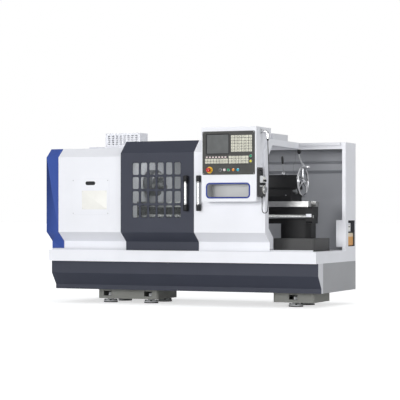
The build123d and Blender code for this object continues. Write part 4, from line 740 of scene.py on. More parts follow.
p = Piece("stop_button_head", "estop_button", "red_plastic", RED)
stop.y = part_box("estop_button")[0].y
head = [(0, 0), (0.0003, 0.010), (0.0012, 0.0152), (0.004, 0.0188), (0.008, 0.0198), (0.0135, 0.0196),
        (0.015, 0.0184), (0.016, 0.014), (0.020, 0.0108), (0.0525, 0.0107), (0.0528, 0)]
p.lathe(stop, Y, head, RED, 56)
for k in range(3):
    out, side = spoke(FRONT, 90 + 120 * k)
    p.slab((side, out, -Y), stop + Y * 0.0003 + out * 0.0105, (0.008, 0.0022), 0.001, 0.0002, PALE, 0, 2)
p.done(("estop_button",))

CAPS = (("button_white", PALE, "white_plastic"), ("button_green", GREEN, "green_plastic"),
        ("start_button", GREEN, "green_plastic"), ("hold_button", LEMON, "yellow_plastic"))
dome = [(0.0006, 0), (0.0004, 0.006), (0, 0.0085), (0.0006, 0.0102), (0.0022, 0.0109), (0.0132, 0.0109)]
flange = [(0.0132, 0.0109), (0.0133, 0.0139), (0.0171, 0.0139), (0.0171, 0)]
for name, material, slot in CAPS:
    p = Piece(name + "_cap", name, slot, material)
    at = on_panel(name)
    at.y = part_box(name)[0].y
    p.lathe(at, Y, dome, material, 40)
    p.lathe(at, Y, flange, BLACK, 40)
    p.done((name,))

p = Piece("key_switch_head", "key_switch", "machined", BEZEL)
bar_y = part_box("key_switch")[0].y
cap = on_panel("key_switch")
cap.y = (bar_y + face) / 2
p.lathe(cap, Y, [(0.0006, 0), (0.0004, 0.0085), (0, 0.0088)], BEZEL, 40)
p.lathe(cap, Y, [(0, 0.0088), (0.0002, 0.0100), (0.0016, 0.0109), (0.0132, 0.0109)], ZINC, 40)
p.lathe(cap, Y, flange, BLACK, 40)
p.slab(FRONT, cap, (0.0058, 0.0188), 0.0022, cap.y - bar_y, BLACK, 0.001, 4)
p.slab(FRONT, (cap.x, bar_y, cap.z + 0.0050), (0.0012, 0.0064), 0.0004, 0.00015, PALE, 0, 1)
p.done(("key_switch",))

# Screws on the control box and a rubber lining in its pocket
box_lo, box_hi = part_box("control_box")
trim_lo, trim_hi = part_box("pocket_trim")
p = Piece("control_box_details", "right_guard", "white_paint", RUBBER)
for z in (box_lo.z + 0.03, box_lo.z + 0.33, box_hi.z - 0.03):
    for y in (box_lo.y + 0.02, box_lo.y + 0.13):
        pan_screw(p, (box_hi.x, y, z), X, 0.004)
        pan_screw(p, (box_lo.x, y, z), -X, 0.004)
rib_pitch = 0.01175
rib_inset = 0.045
for k in range(9):
    y = trim_hi.y + 0.006 + rib_pitch * k
    z = trim_lo.z + 0.0121
    p.rod((trim_lo.x + rib_inset, y, z), (trim_hi.x - rib_inset, y, z), 0.002, m=RUBBER, seg=10)
p.done()

# Pendant in its holder
pend_lo, pend_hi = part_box("mpg_pendant")
dial = centre("mpg_dial")
wall_x = pend_lo.x
foot_z = dial.z - 0.064
cable_end = Vector((wall_x + 0.027, dial.y, pend_lo.z))


def pendant(out, across, up):
    """A point of the pendant, out from the wall, across from the dial and up from the holder's foot."""
    return Vector((wall_x + out, dial.y + across, foot_z + up))


p = Piece("hand_pendant", "right_guard", "black_plastic", BLACK)
holder = Vector((wall_x, (pend_lo.y + pend_hi.y) / 2, foot_z + 0.131))
holder_width = pend_hi.y - pend_lo.y
p.slab(RIGHT, holder, (holder_width, 0.262), 0.012, 0.004, BEZEL, 0.001, 6)
p.box(pendant(0.003, -0.0400, 0), pendant(0.022, 0.0400, 0.205), 0.004, BEZEL, 3)
for z0, z1, m in ((0.002, 0.108, BEZEL), (0.106, 0.126, BLACK), (0.124, 0.188, SHELL)):
    grow = 0.0012 if m is BLACK else 0.0
    p.box(pendant(0.020, -0.039 - grow, z0), pendant(0.0488 + grow, 0.039 + grow, z1), 0.007, m, 3)
p.box(pendant(0.021, -0.0396, 0.090), pendant(0.048, 0.0396, 0.102), 0.004, SHELL, 2)
p.slab(RIGHT, pendant(0.0488, 0, 0.153), (0.062, 0.046), 0.006, 0.0012, PLATE, 0.0003, 4)
p.lathe(pendant(0.0488, 0, 0.064), X, [(0, 0.0385), (0.002, 0.038), (0.002, 0.0305), (0, 0.0303)], PLATE, 56)
knob = [(0, 0.0112), (0.003, 0.0112), (0.004, 0.0096), (0.0105, 0.0088), (0.0118, 0.0072), (0.0118, 0)]
for across in (-0.018, 0.018):
    p.lathe(pendant(0.0500, across, 0.144), X, knob, BLACK, 32)
    p.slab(RIGHT, pendant(0.0617, across, 0.148), (0.002, 0.0085), 0.0005, 0.0003, PLATE, 0, 1)
for at in corners(RIGHT, holder, (holder_width / 2 - 0.014, 0.121), 0.004):
    pan_screw(p, at, X, 0.0045)
hook = [(0.008, 0.234), (0.018, 0.238), (0.026, 0.228), (0.029, 0.210), (0.029, 0.186)]
p.sweep([pendant(out, 0, up) for out, up in hook], 0.0055, Y, BLACK, 16)
p.rod(cable_end + Z * 0.020, cable_end, 0.0095, 0.0062, BLACK, 24, 0.001)
p.done(("mpg_pendant",))

p = Piece("pendant_dial", "mpg_dial", "black_plastic", ZINC)
shaft = Vector((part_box("mpg_dial")[0].x, dial.y, dial.z))
finger = shaft + Y * 0.0185
wheel = [(0.0102, 0), (0.0102, 0.0288), (0.0125, 0.029), (0.0215, 0.0282), (0.0245, 0.0262), (0.0262, 0.022),
         (0.0258, 0.016), (0.0262, 0.013), (0.0264, 0)]
p.rod(shaft, shaft + X * 0.011, 0.0079, m=BLACK, seg=24)
p.lathe(shaft, X, wheel, ZINC, 56)
p.rod(finger + X * 0.0255, finger + X * 0.0270, 0.0045, m=BLACK, seg=20, edge=0.0005)
ticks(p, shaft + X * 0.0137, 0.0285, 50, 0.006, DARK_AND_RECESS_SHADE)
p.done(("mpg_dial",))

# Elbow conduit from the box's side down to the cable
elbow_lo, elbow_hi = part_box("conduit_elbow")
bend = 0.030
root = Vector((wall_x, (elbow_lo.y + elbow_hi.y) / 2, elbow_hi.z - 0.024))
mouth = Vector((elbow_hi.x - 0.015, root.y, elbow_lo.z))
turn = Vector((mouth.x - bend, root.y, root.z - bend))
arc = [turn + spoke((Z, X, Y), 10 * k)[0] * bend for k in range(10)]
p = Piece("elbow_conduit", "right_guard", "black_plastic", TUBE)
p.sweep([root, *arc, mouth + Z * 0.0165], 0.0138, Y, CHROME, 24)
p.rod(root, root + X * 0.006, 0.0238, m=SHELL, seg=40, edge=0.0015)
for at in corners(RIGHT, root, (0.013, 0.013), 0.006):
    pan_screw(p, at, X, 0.0028)
p.rod(root + X * 0.006, root + X * 0.013, 0.0149, m=BLACK, seg=6, edge=0.001)
p.rod(mouth + Z * 0.034, mouth + Z * 0.016, 0.0149, m=TUBE, seg=24, edge=0.0015)
p.rod(mouth + Z * 0.017, mouth, 0.0098, 0.0058, BLACK, 24, 0.001)
p.done(("conduit_elbow",))

# Cable: straight down from the elbow, round a hanging loop and up to the pendant
radius = 0.0035
stub = 0.020
bow = 0.0095
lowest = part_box("mpg_cable")[0].z + radius
level = lowest + 0.0225
start = mouth
finish = cable_end
route = [start]
for k in range(10):
    t = k / 9
    z = start.z - stub + (level - start.z + stub) * t
    route.append(Vector((start.x + bow * sin(pi * t), start.y, z)))
for degrees in (45, 90, 135):
    a = radians(degrees)
    low = (start + finish) / 2 - (finish - start) / 2 * cos(a)
    low.z = level - (level - lowest) * 1.32 * sin(a)
    route.append(low)
route.append(Vector((finish.x, finish.y, level)))
route.append(Vector((finish.x + 0.002, finish.y, (level + finish.z) / 2)))
route.append(finish - Z * stub)
route.append(finish)
curve = bpy.data.curves.new("pendant_cable", "CURVE")
curve.dimensions = "3D"
curve.bevel_depth = radius
curve.bevel_resolution = 5
spline = curve.splines.new("NURBS")
spline.points.add(len(route) - 1)
for point, at in zip(spline.points, route):
    point.co = (*at, 1)
spline.order_u = 3
spline.use_endpoint_u = True
spline.resolution_u = 8
curve.materials.append(RUBBER.m)
cable = place("pendant_cable", curve)
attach(cable, "right_guard")
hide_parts("mpg_cable")

# Chuck: jaw screws and serrations, a face ring and key sockets
jaw_count = 3
chuck_face = on_spindle(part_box("chuck_body")[1].x)
for number in range(jaw_count):
    out, side = spoke(RIGHT, 75 + 120 * number)
    p = Piece(f"jaw_{number + 1}_details", f"jaw_{number + 1}", "machined", ZINC)
    cap_screw(p, chuck_face + X * 0.035 + out * 0.0835, X, 0.008, 0.007)
    for k in range(5):
        # Dark strips painted as the shade in the grooves of the jaw's serrations.
        at = chuck_face + X * (0.008 + 0.005 * k) + out * 0.0951
        p.slab((side, X, out), at, (0.030, 0.0012), 0.0002, 0.0003, DARK_AND_RECESS_SHADE, 0, 1)
    p.done()
p = Piece("chuck_details", "spindle", "machined", GROUND)
p.lathe(chuck_face, X, [(0, 0.0262), (0.002, 0.0266), (0.002, 0.0305), (0, 0.031)], GROUND, 48)
for number in range(jaw_count):
    out, _ = spoke(RIGHT, 135 + 120 * number)
    socket = spindle + out * 0.1246
    p.lathe(socket, out, [(0, 0.013), (0.0015, 0.0126), (0.0015, 0.009)], GROUND, 32)
    # A dark disc painted as the shade inside each key socket.
    p.lathe(socket, out, [(0.0006, 0.009), (0.0006, 0)], DARK_AND_RECESS_SHADE, 4)
    for reach in (0.060, 0.098):
        cap_screw(p, chuck_face + out * reach, X, 0.0075, 0.0045)
p.done()

# Carriage: way wipers and a cover on the apron
saddle_lo, saddle_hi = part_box("saddle")
wiper = 0.007
way_width = 0.08
p = Piece("carriage_details", "carriage", "black_plastic", RUBBER)
for x, out in ((saddle_lo.x, -1), (saddle_hi.x, 1)):
    end = x + wiper * out
    for y in (bed_lo.y, bed_hi.y - way_width):
        low = (min(x, end), y + 0.001, bed_hi.z + 0.0004)
        p.box(low, (max(x, end), y + way_width - 0.001, bed_hi.z + 0.024), 0.0015, RUBBER)
        for across in (0.015, way_width - 0.015):
            pan_screw(p, (end, y + across, bed_hi.z + 0.015), X * out, 0.004)
apron = Vector((centre("saddle").x, saddle_lo.y, saddle_lo.z + 0.075))
p.slab(FRONT, apron, (0.20, 0.10), 0.008, 0.004, BEZEL, 0.001, 5)
for at in corners(FRONT, apron, (0.088, 0.038), 0.004):
    cap_screw(p, at, -Y)
sight = [(0, 0.016), (0.003, 0.0155), (0.003, 0.011), (0.001, 0.010), (0.001, 0)]
p.lathe(apron - Y * 0.004, -Y, sight, CHROME, 36)
p.done()

# Turret: tool screws and inserts
tool = centre("tool_turret")
tool.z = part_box("tool_turret")[1].z - 0.022
p = Piece("turret_details", "tool_turret", "machined", ZINC)
for k in range(4):
    out, side = spoke(TOP, 90 * k)
    for across in (-0.045, 0.0, 0.045):
        cap_screw(p, tool + out * 0.062 + side * across, Z, 0.0065, 0.006)
    tip = Vector((tool.x, tool.y, spindle.z + 0.0002)) + out * 0.1125
    p.slab((side, out, Z), tip, (0.013, 0.013), 0.002, 0.0035, GOLD, 0.0006, 2)
    # A dark disc painted as the shade in the insert's middle hole.
    p.lathe(tip + Z * 0.0035, Z, [(0, 0.0035), (0.0004, 0.003), (0.0004, 0)], DARK_AND_RECESS_SHADE, 16)
p.done()

# Tailstock: handwheel, clamp lever, clamping bolts
body_lo, body_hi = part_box("tailstock_body")
foot_lo, foot_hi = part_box("tailstock_base")
rim_radius = 0.134
p = Piece("tailstock_handwheel", "handwheel", "bright", CHROME)
hub = on_spindle(body_hi.x + 0.040)
p.ring(hub, X, rim_radius, 0.0108, CHROME, 96, 18)
for k in range(3):
    out, _ = spoke(RIGHT, 90 + 120 * k)
    p.rod(hub + out * 0.012, hub + out * 0.130, 0.0078, 0.0068, CHROME, 20)
    p.lathe(hub + out * 0.024, out, [(0, 0.0125), (0.006, 0.0105), (0.014, 0.0078)], CHROME, 20)
sleeve = on_spindle(body_hi.x + 0.0002)
p.rod(on_spindle(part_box("handwheel")[0].x), sleeve, 0.0158, m=ZINC, seg=32)
boss = [(0, 0.0158), (0, 0.0336), (0.002, 0.034), (0.014, 0.034), (0.0158, 0.032), (0.0158, 0.0262),
        (0.018, 0.0268), (0.058, 0.0262), (0.0608, 0.0235), (0.0612, 0.012), (0.059, 0.011), (0.059, 0)]
p.lathe(sleeve, X, boss, CHROME, 48)
ticks(p, sleeve + X * 0.003, 0.0338, 40, 0.009, BLACK)
grip = [(0, 0), (0, 0.0125), (0.010, 0.0125), (0.012, 0.0085), (0.018, 0.0085), (0.019, 0.0112),
        (0.032, 0.0128), (0.050, 0.0126), (0.064, 0.0108), (0.070, 0.0075), (0.0718, 0)]
p.lathe(hub - X * 0.002 + Z * rim_radius, X, grip, CHROME, 32)
p.done(("handwheel",))

p = Piece("quill_clamp", "clamp_lever", "bright", ZINC)
pivot = Vector((centre("clamp_lever").x, spindle.y, body_hi.z + 0.0002))
pin = [(-0.023, 0), (-0.023, 0.0109), (0, 0.0109), (0, 0.0165), (0.002, 0.018), (0.017, 0.0178),
       (0.021, 0.0155), (0.022, 0)]
p.lathe(pivot, Z, pin, ZINC, 40)
lean, _ = spoke((Z, -Y, X), 14)
arm = pivot + Z * 0.011
p.rod(arm, arm + lean * 0.10, 0.0072, 0.006, ZINC, 20)
knob = [(0, 0.006), (0, 0.0085), (0.004, 0.0095), (0.03, 0.0108), (0.055, 0.0104), (0.067, 0.0082),
        (0.0725, 0.004), (0.073, 0)]
p.lathe(arm + lean * 0.092, lean, knob, BEZEL, 32)
p.done(("clamp_lever",))

p = Piece("tailstock_details", "tailstock", "machined", ZINC)
clamp = Vector((foot_hi.x, spindle.y, body_lo.z))
clamp_bolt = [(0, 0.019), (0.012, 0.019), (0.014, 0.016), (0.030, 0.016), (0.032, 0.014), (0.032, 0)]
p.lathe(clamp - Y * 0.075 - Z * 0.010, X, clamp_bolt, ZINC, 6)
plug = [(0, 0.015), (0.018, 0.015), (0.020, 0.013), (0.020, 0)]
p.lathe(clamp - Y * 0.030 - Z * 0.028, X, plug, ZINC, 24)
foot_nut = [(0, 0.0115), (0.002, 0.0115), (0.002, 0.0098), (0.012, 0.0098), (0.013, 0.008), (0.013, 0)]
for x in (foot_lo.x + 0.05, foot_hi.x - 0.05):
    p.lathe((x, foot_lo.y + 0.012, foot_lo.z + 0.0462), Z, foot_nut, ZINC, 6)
nose = on_spindle(body_lo.x)
p.lathe(nose, -X, [(0, 0.060), (0.004, 0.0585), (0.004, 0.036), (0, 0.0345)], GROUND, 64)
for k in range(6):
    cap_screw(p, nose - X * 0.004 + spoke(RIGHT, 30 + 60 * k)[0] * 0.048, -X, 0.0045, 0.004)
p.done()

# Ball screw: a ground shaft with a round helical groove between two plain journals
brackets = sorted(islands("screw_brackets"), key=lambda q: q[0].x)
screw_lo, screw_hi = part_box("z_ball_screw")
shaft_radius = (screw_hi.z - screw_lo.z) / 2
journal_radius = 0.015
lead = 0.006
groove_depth = 0.0013
groove_share = 0.36
thread_x = (brackets[0][1].x + 0.0002, brackets[-1][0].x - 0.0002)
thread_rows = round((thread_x[1] - thread_x[0]) / lead * 5)
around = 18
p = Piece("ball_screw_shaft", "z_ball_screw", "machined", SCREW)


def groove(x, turn):
    """Depth of the ball groove at a place along the shaft and a share of a turn round it."""
    across = ((x / lead + turn) % 1.0 - 0.5) / groove_share
    return groove_depth * max(0.0, 1 - across * across) ** 0.5


def thread_rings():
    """The grooved length, ring by ring."""
    rings = []
    for k in range(thread_rows + 1):
        x = thread_x[0] + (thread_x[1] - thread_x[0]) * k / thread_rows
        ring = []
        for j in range(around):
            out, _ = spoke(RIGHT, 360 * j / around)
            at = Vector((x, screw.y, screw.z)) + out * (shaft_radius - groove(x, j / around))
            ring.append(p.bm.verts.new(at))
        rings.append(ring)
    p.strip(rings)
    p.bm.faces.new(rings[0][::-1])
    p.bm.faces.new(rings[-1])


p.add(thread_rings)
for x0, x1 in ((screw_lo.x, thread_x[0] + 0.001), (thread_x[1] - 0.001, screw_hi.x)):
    p.rod((x0, screw.y, screw.z), (x1, screw.y, screw.z), journal_radius, seg=32, edge=0.001)
p.done(("z_ball_screw",))

# Cover plate on the ball screw's end bearing
lo, hi = brackets[-1]
p = Piece("screw_end_cover", "frame", "white_paint", WHITE)
plate = Vector(((lo.x + hi.x) / 2, lo.y, screw.z + 0.010))
p.slab(FRONT, plate, (0.054, 0.030), 0.004, 0.004, WHITE, 0.001, 4)
for across in (-0.02, 0.02):
    cap_screw(p, plate + X * across - Y * 0.004, -Y, 0.0035, 0.003)
p.done()

# Coolant goose-neck on a gland under the rear beam
p = Piece("coolant_neck", "frame", "black_plastic", BLACK)
gland = Vector((beam_hi.x - 0.431, beam_lo.y + 0.0055, beam_hi.z - 0.062))
p.rod(gland + Z * 0.0005, gland - Z * 0.030, 0.0175, m=BLACK, seg=6, edge=0.001)
p.rod(gland - Z * 0.029, gland - Z * 0.042, 0.0125, 0.0085, BLACK, 20, 0.001)
beads = 41
path = []
for k in range(beads):
    t = k / (beads - 1)
    path.append(gland + X * 0.060 * t * t - Z * (0.034 + 0.130 * t))
p.sweep(path, [0.0088 if k % 2 else 0.0068 for k in range(beads)], Y, SHELL, 14)
way = (path[-1] - path[-2]).normalized()
p.rod(path[-1] - way * 0.004, path[-1] + way * 0.024, 0.0092, 0.0050, ZINC, 18, 0.001)
p.done()

# Lubricator: tank with a level scale, pump head and filler cap
lo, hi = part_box("lubricator")
tank_z = lo.z + 0.124
lid_z = lo.z + 0.132
filler = Vector((centre("lubricator").x, hi.y - 0.036, lid_z))
label = Vector((hi.x - 0.006, lo.y + 0.062, hi.z - 0.045))
p = Piece("lubricator_unit", "frame", "oil_tank", TANK)
p.box(lo, (hi.x, hi.y, tank_z), 0.012, TANK, 4)
p.box((lo.x, lo.y + 0.004, tank_z - 0.002), (hi.x, hi.y - 0.004, lid_z + 0.002), 0.004, BLACK, 2)
p.box((lo.x + 0.002, lo.y + 0.018, lid_z), (hi.x - 0.006, hi.y - 0.06, hi.z - 0.004), 0.006, WALL, 3)
p.rod(filler, filler + Z * 0.028, 0.020, m=BLACK, seg=28, edge=0.003)
p.slab(RIGHT, label, (0.06, 0.045), 0.004, 0.002, PLATE, 0.0006, 4)
p.slab(RIGHT, label + X * 0.0018 + Z * 0.005, (0.042, 0.008), 0.002, 0.001, BLACK, 0.0003, 3)
for k in range(7):
    size = (0.014 if k % 2 else 0.009, 0.0012)
    at = (hi.x - 0.0002, lo.y + 0.02, lo.z + 0.02 + k * 0.013)
    p.slab(RIGHT, at, size, 0.0004, 0.0004, BLACK, 0, 1)
p.done(("lubricator",))

# Access hatch: latch recess, bare plate and corner screws
hatch_lo, hatch_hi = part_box("access_panel")
hatch = centre("access_panel")
hatch.y = hatch_lo.y
p = Piece("hatch_details", "frame", "black_plastic", DARK_AND_RECESS_SHADE)
latch_z = hatch_hi.z - 0.038
# The latch recess is a dark plate painted as shade behind the black ring.
p.slab(FRONT, (hatch.x, hatch_hi.y, latch_z), (0.0966, 0.0296), 0.0148, 0.0012, DARK_AND_RECESS_SHADE, 0, 8)
p.frame_ring(FRONT, (hatch.x, hatch_lo.y, latch_z), (0.094, 0.027), 0.0135, 0.004, 0.0012, BLACK, 8)
plate = Vector((hatch.x + 0.042, hatch_lo.y, hatch_lo.z + 0.138))
p.slab(FRONT, plate, (0.262, 0.176), 0.004, 0.0012, PLATE, 0.0004, 4)
for at in corners(FRONT, plate, (0.123, 0.080), 0.0012):
    pan_screw(p, at, -Y, 0.0024)
for at in corners(FRONT, hatch, (0.183, 0.154)):
    pan_screw(p, at, -Y, 0.0045)
p.done()

# Levelling feet: rubber sole, iron pad with four bolts, threaded stud and two nuts
p = Piece("levelling_pads", "frame", "casting", RUBBER)
NUTS = ([(0.0652, 0.0118), (0.0652, 0.021), (0.0665, 0.0218), (0.0815, 0.0218), (0.083, 0.021),
         (0.083, 0.0118)],
        [(0.0832, 0.0118), (0.0832, 0.0205), (0.0842, 0.0212), (0.0915, 0.0212), (0.0925, 0.0205),
         (0.0925, 0.0118)])
bolt_angle = 23.7
bolt_circle = 0.052
for lo, hi in islands("levelling_feet"):
    base = (lo + hi) / 2
    base.z = 0
    r = (hi.x - lo.x) / 2
    p.lathe(base, Z, [(0, 0), (0, r * 0.97), (0.002, r), (0.008, r), (0.0095, r * 0.96)], RUBBER, 56)
    p.lathe(base, Z, [(0.0095, r * 0.96), (0.011, r * 0.985), (0.0155, r * 0.985), (0.018, r * 0.94),
                      (0.030, 0.036), (0.0345, 0.030), (0.039, 0.0295), (0.039, 0.012)], SHELL, 56)
    for k in range(4):
        bolt = base + spoke(TOP, bolt_angle + 90 * k)[0] * bolt_circle + Z * 0.017
        p.rod(bolt, bolt + Z * 0.014, 0.0115, m=BEZEL, seg=6, edge=0.001)
    p.lathe(base, Z, [(0.038, 0.0118), (0.0995, 0.0118), (0.101, 0.0105), (0.101, 0)], THREAD, 28)
    for nut in NUTS:
        p.lathe(base, Z, nut, SHELL, 6)
p.done(("levelling_feet",))

# Cabinet door at the back: folded skin, hinge knuckles, louvres, filter and latches
door_lo, door_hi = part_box("cabinet_door")
knuckles = 5
p = Piece("cabinet_back_door", "cabinet_door", "white_paint", WALL)
skin_y = door_hi.y - 0.0045
hinge = Vector((door_lo.x + 0.007, door_hi.y - 0.007, 0))
left_x = hinge.x + 0.006
width = door_hi.x - left_x
height = door_hi.z - door_lo.z
skin = Vector(((left_x + door_hi.x) / 2, skin_y, centre("cabinet_door").z))
p.slab(REAR, skin, (width, height), 0.006, 0.002, WALL, 0.0008, 3)
fold = 0.018
back = (skin.x, door_lo.y, skin.z)
fold_size = (width - 2 * fold, height - 2 * fold)
p.frame_ring(REAR, back, fold_size, 0.004, fold, skin_y - door_lo.y + 0.0005, WALL, 3)
for k in range(knuckles):
    low = door_lo.z + height * k / knuckles + 0.0006
    high = door_lo.z + height * (k + 1) / knuckles - 0.0006
    p.rod(hinge + Z * low, hinge + Z * high, 0.0069, m=ZINC if k % 2 else WALL, seg=24, edge=0.0008)
p.rod(hinge + Z * door_lo.z, hinge + Z * door_hi.z, 0.0055, m=ZINC, seg=16)
p.box(hinge + Z * door_lo.z - Y * 0.002, (left_x + 0.004, hinge.y + 0.002, door_hi.z), 0.0, WALL)
outside = skin + Y * 0.002
for group in (door_lo.z + 0.16, door_hi.z - 0.30):
    for column in (-0.16, 0.16):
        for k in range(9):
            at = Vector((skin.x + column, outside.y, group + 0.017 * k))
            p.slab(REAR, at, (0.20, 0.011), 0.0054, 0.0022, WALL, 0.0018, 5)
            # A dark strip painted as the shade in the opening under each louvre.
            p.slab(REAR, at - Z * 0.0072, (0.192, 0.003), 0.0014, 0.0003, DARK_AND_RECESS_SHADE, 0, 3)
fan = outside + Z * 0.02
p.frame_ring(REAR, fan, (0.150, 0.150), 0.006, 0.012, 0.0023, BLACK, 4)
# A dark square painted as the shade behind the fan's slats.
p.slab(REAR, fan, (0.150, 0.150), 0.004, 0.0003, DARK_AND_RECESS_SHADE, 0, 3)
for k in range(11):
    p.slab(REAR, fan + Z * (-0.065 + 0.013 * k), (0.148, 0.006), 0.002, 0.0018, BLACK, 0.001, 2)
latch = [(0, 0.016), (0.0014, 0.0155), (0.0022, 0.013), (0.0022, 0.009), (0.0008, 0.0085), (0.0008, 0)]
for z in (door_lo.z + 0.14, door_hi.z - 0.14):
    at = Vector((door_hi.x - 0.030, outside.y, z))
    p.lathe(at, Y, latch, ZINC, 36)
    # A dark slot painted as the shade in the latch's key slot.
    p.slab(REAR, at + Y * 0.0008, (0.0135, 0.003), 0.001, 0.0012, DARK_AND_RECESS_SHADE, 0, 2)
p.done(("cabinet_door",))

# Belt hatch in the blue end cover: its joint and two rows of vents are cut into the sheet
end_lo, end_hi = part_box("left_end_cover")
hatch_size = (end_hi.y - end_lo.y - 0.30, end_hi.z - end_lo.z - 0.22)
end_mid = Vector((end_lo.x, (end_lo.y + end_hi.y) / 2 + 0.01, (end_lo.z + end_hi.z) / 2))
vent_pitch = 0.024
cuts = Piece("hatch_cuts", "frame", "blue_paint", BLUE)
cuts.frame_ring(LEFT, end_mid + X * 0.0015, hatch_size, 0.012, 0.003, 0.004, BLUE, 5)
for row in (-1, 1):
    for k in range(6):
        vent = end_mid + X * 0.006 + Z * row * (hatch_size[1] / 2 - 0.08 - vent_pitch * k)
        cuts.slab(LEFT, vent, (hatch_size[0] - 0.26, 0.009), 0.0045, 0.012, BLUE, 0, 5)
p = Piece("end_cover_shell", "frame", "blue_paint", BLUE)
p.cut_from("left_end_cover", cuts)
for at in corners(LEFT, end_mid + X * 0.0002, (hatch_size[0] / 2 - 0.025, hatch_size[1] / 2 - 0.025)):
    p.lathe(at, -X, [(0, 0.0095), (0.0001, 0.0090), (0.0001, 0)], ZINC, 24)
p.done(("left_end_cover",))

# Lip seal under the left door's roof, clear of the covers that it slides over
slide_lo, slide_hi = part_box("left_door")
cover_lo, cover_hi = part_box("headstock_cover")
seal_x = (slide_lo.x + 0.0006, slide_lo.x + 0.0056)
seal_y = (cover_lo.y + 0.09, slide_hi.y - 0.04)
clearance = 0.005
inside = surface("left_door")
roofs = [(surface(name), centre(name).x) for name in ("headstock_cover", "left_end_cover")]
steps = 120
p = Piece("roof_seal", "left_guard", "black_plastic", RUBBER)
loops = []
for k in range(steps + 1):
    y = seal_y[0] + (seal_y[1] - seal_y[0]) * k / steps
    top = hit(inside, (seal_x[0] + 0.002, y, cover_hi.z - 0.05), Z).z + 0.0005
    low = max(hit(roof, (x, y, slide_hi.z + 0.05), -Z).z for roof, x in roofs) + clearance
    ends = [(seal_x[0], y, low), (seal_x[1], y, low), (seal_x[1], y, top), (seal_x[0], y, top)]
    loops.append([p.bm.verts.new(c) for c in ends])
p.strip(loops)
p.bm.faces.new(loops[0])
p.bm.faces.new(loops[-1][::-1])
p.done()

# Electrical gear on the cabinet's mounting plate, seen when its door is open
case_lo, case_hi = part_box("electrical_cabinet")
case = centre("electrical_cabinet")
p = Piece("cabinet_gear", "frame", "grey_paint", ZINC)
plate_y = case_lo.y + 0.022
gear_y = plate_y + 0.003
plate_half = ((case_hi.x - case_lo.x) / 2 - 0.05, (case_hi.z - case_lo.z) / 2 - 0.05)
plate_size = (2 * plate_half[0], 2 * plate_half[1])
p.slab(REAR, (case.x, plate_y, case.z), plate_size, 0.006, 0.003, ZINC, 0.0008, 3)
for at in corners(REAR, (case.x, case_lo.y + 0.002, case.z), (plate_half[0] - 0.025, plate_half[1] - 0.025)):
    p.rod(at, (at.x, plate_y, at.z), 0.008, m=ZINC, seg=16)
    cap_screw(p, (at.x, gear_y, at.z), Y, 0.007, 0.006)


def gear(left, low, width, height, depth, m, r=0.003):
    """A rounded box on the plate, from its left edge as seen from the open door; returns its front."""
    x = case.x + plate_half[0] - left
    z = case.z - plate_half[1] + low
    p.box((x - width, gear_y, z), (x, gear_y + depth, z + height), r, m, 2)
    return Vector((x - width / 2, gear_y + depth, z + height / 2))


duct = 0.045
rows = (0.02, 0.24, 0.47, 0.84)
for low in rows:
    gear(0.02, low, plate_size[0] - 0.04, duct, 0.065, SHELL)
for left in (0.02, plate_size[0] - 0.02 - duct):
    gear(left, rows[0] + duct + 0.002, duct, rows[-1] - rows[0] - duct - 0.004, 0.062, SHELL)

# Drives, each with a face plate, a display, keys and two connectors
first = 0.085
left = first
for width in (0.15, 0.105, 0.105, 0.12, 0.12):
    front = gear(left, rows[2] + duct + 0.045, width, 0.24, 0.16, BEZEL, 0.005)
    p.slab(REAR, front + Z * 0.055, (width * 0.8, 0.085), 0.005, 0.002, SHELL, 0.0006, 4)
    p.slab(REAR, front + Y * 0.002 + Z * 0.070, (width * 0.5, 0.026), 0.002, 0.0008, SCREEN, 0, 3)
    for k in (-1, 0, 1):
        at = front + X * k * width * 0.2 + Y * 0.002 + Z * 0.034
        p.slab(REAR, at, (0.010, 0.010), 0.002, 0.001, BLACK, 0, 3)
    p.slab(REAR, front - Z * 0.035, (width * 0.55, 0.018), 0.002, 0.008, BLACK, 0.001, 2)
    p.slab(REAR, front - Z * 0.085, (width * 0.75, 0.026), 0.002, 0.010, GREEN, 0.001, 2)
    left += width + 0.018

# Six breakers and six contactors on a rail
left = first
rail_z = rows[1] + duct + 0.055
gear(left - 0.01, rail_z + 0.025, plate_size[0] - 0.15, 0.035, 0.008, ZINC, 0.001)
for width, depth, body, nose, gap in ((0.036, 0.068, WALL, WALL, 0.012), (0.050, 0.082, BEZEL, SHELL, 0.002)):
    for k in range(6):
        front = gear(left, rail_z, width - 0.001, 0.086, depth, body)
        p.slab(REAR, front, (width * 0.8, 0.045), 0.002, 0.006, nose, 0.001, 3)
        p.slab(REAR, front + Y * 0.006, (width * 0.35, 0.014), 0.002, 0.007, BLACK, 0.001, 3)
        left += width + (gap if k == 5 else 0.002)

# Terminals on a rail, and a transformer
left = first
strip_z = rows[0] + duct + 0.055
gear(left - 0.01, strip_z + 0.010, 0.45, 0.035, 0.008, ZINC, 0.001)
for k in range(40):
    colour = {9: GREEN, 4: ORANGE}.get(k % 10, SHELL)
    gear(left + 0.0105 * k, strip_z, 0.0098, 0.055, 0.044, colour, 0.001)
front = gear(0.58, rows[0] + duct + 0.03, 0.15, 0.11, 0.11, BLACK, 0.004)
for across in (-0.035, 0.035):
    coil = front + X * across
    p.box(coil + Vector((-0.026, -0.10, -0.040)), coil + Vector((0.026, 0.012, 0.040)), 0.010, ORANGE, 3)

# Strip that closes the cabinet's right rear edge
p.box((case_hi.x + 0.0005, case_hi.y - 0.004, case_lo.z + 0.002),
      (case_hi.x + 0.0025, beam_hi.y - 0.002, case_hi.z - 0.002), 0.0, WALL)
p.done()

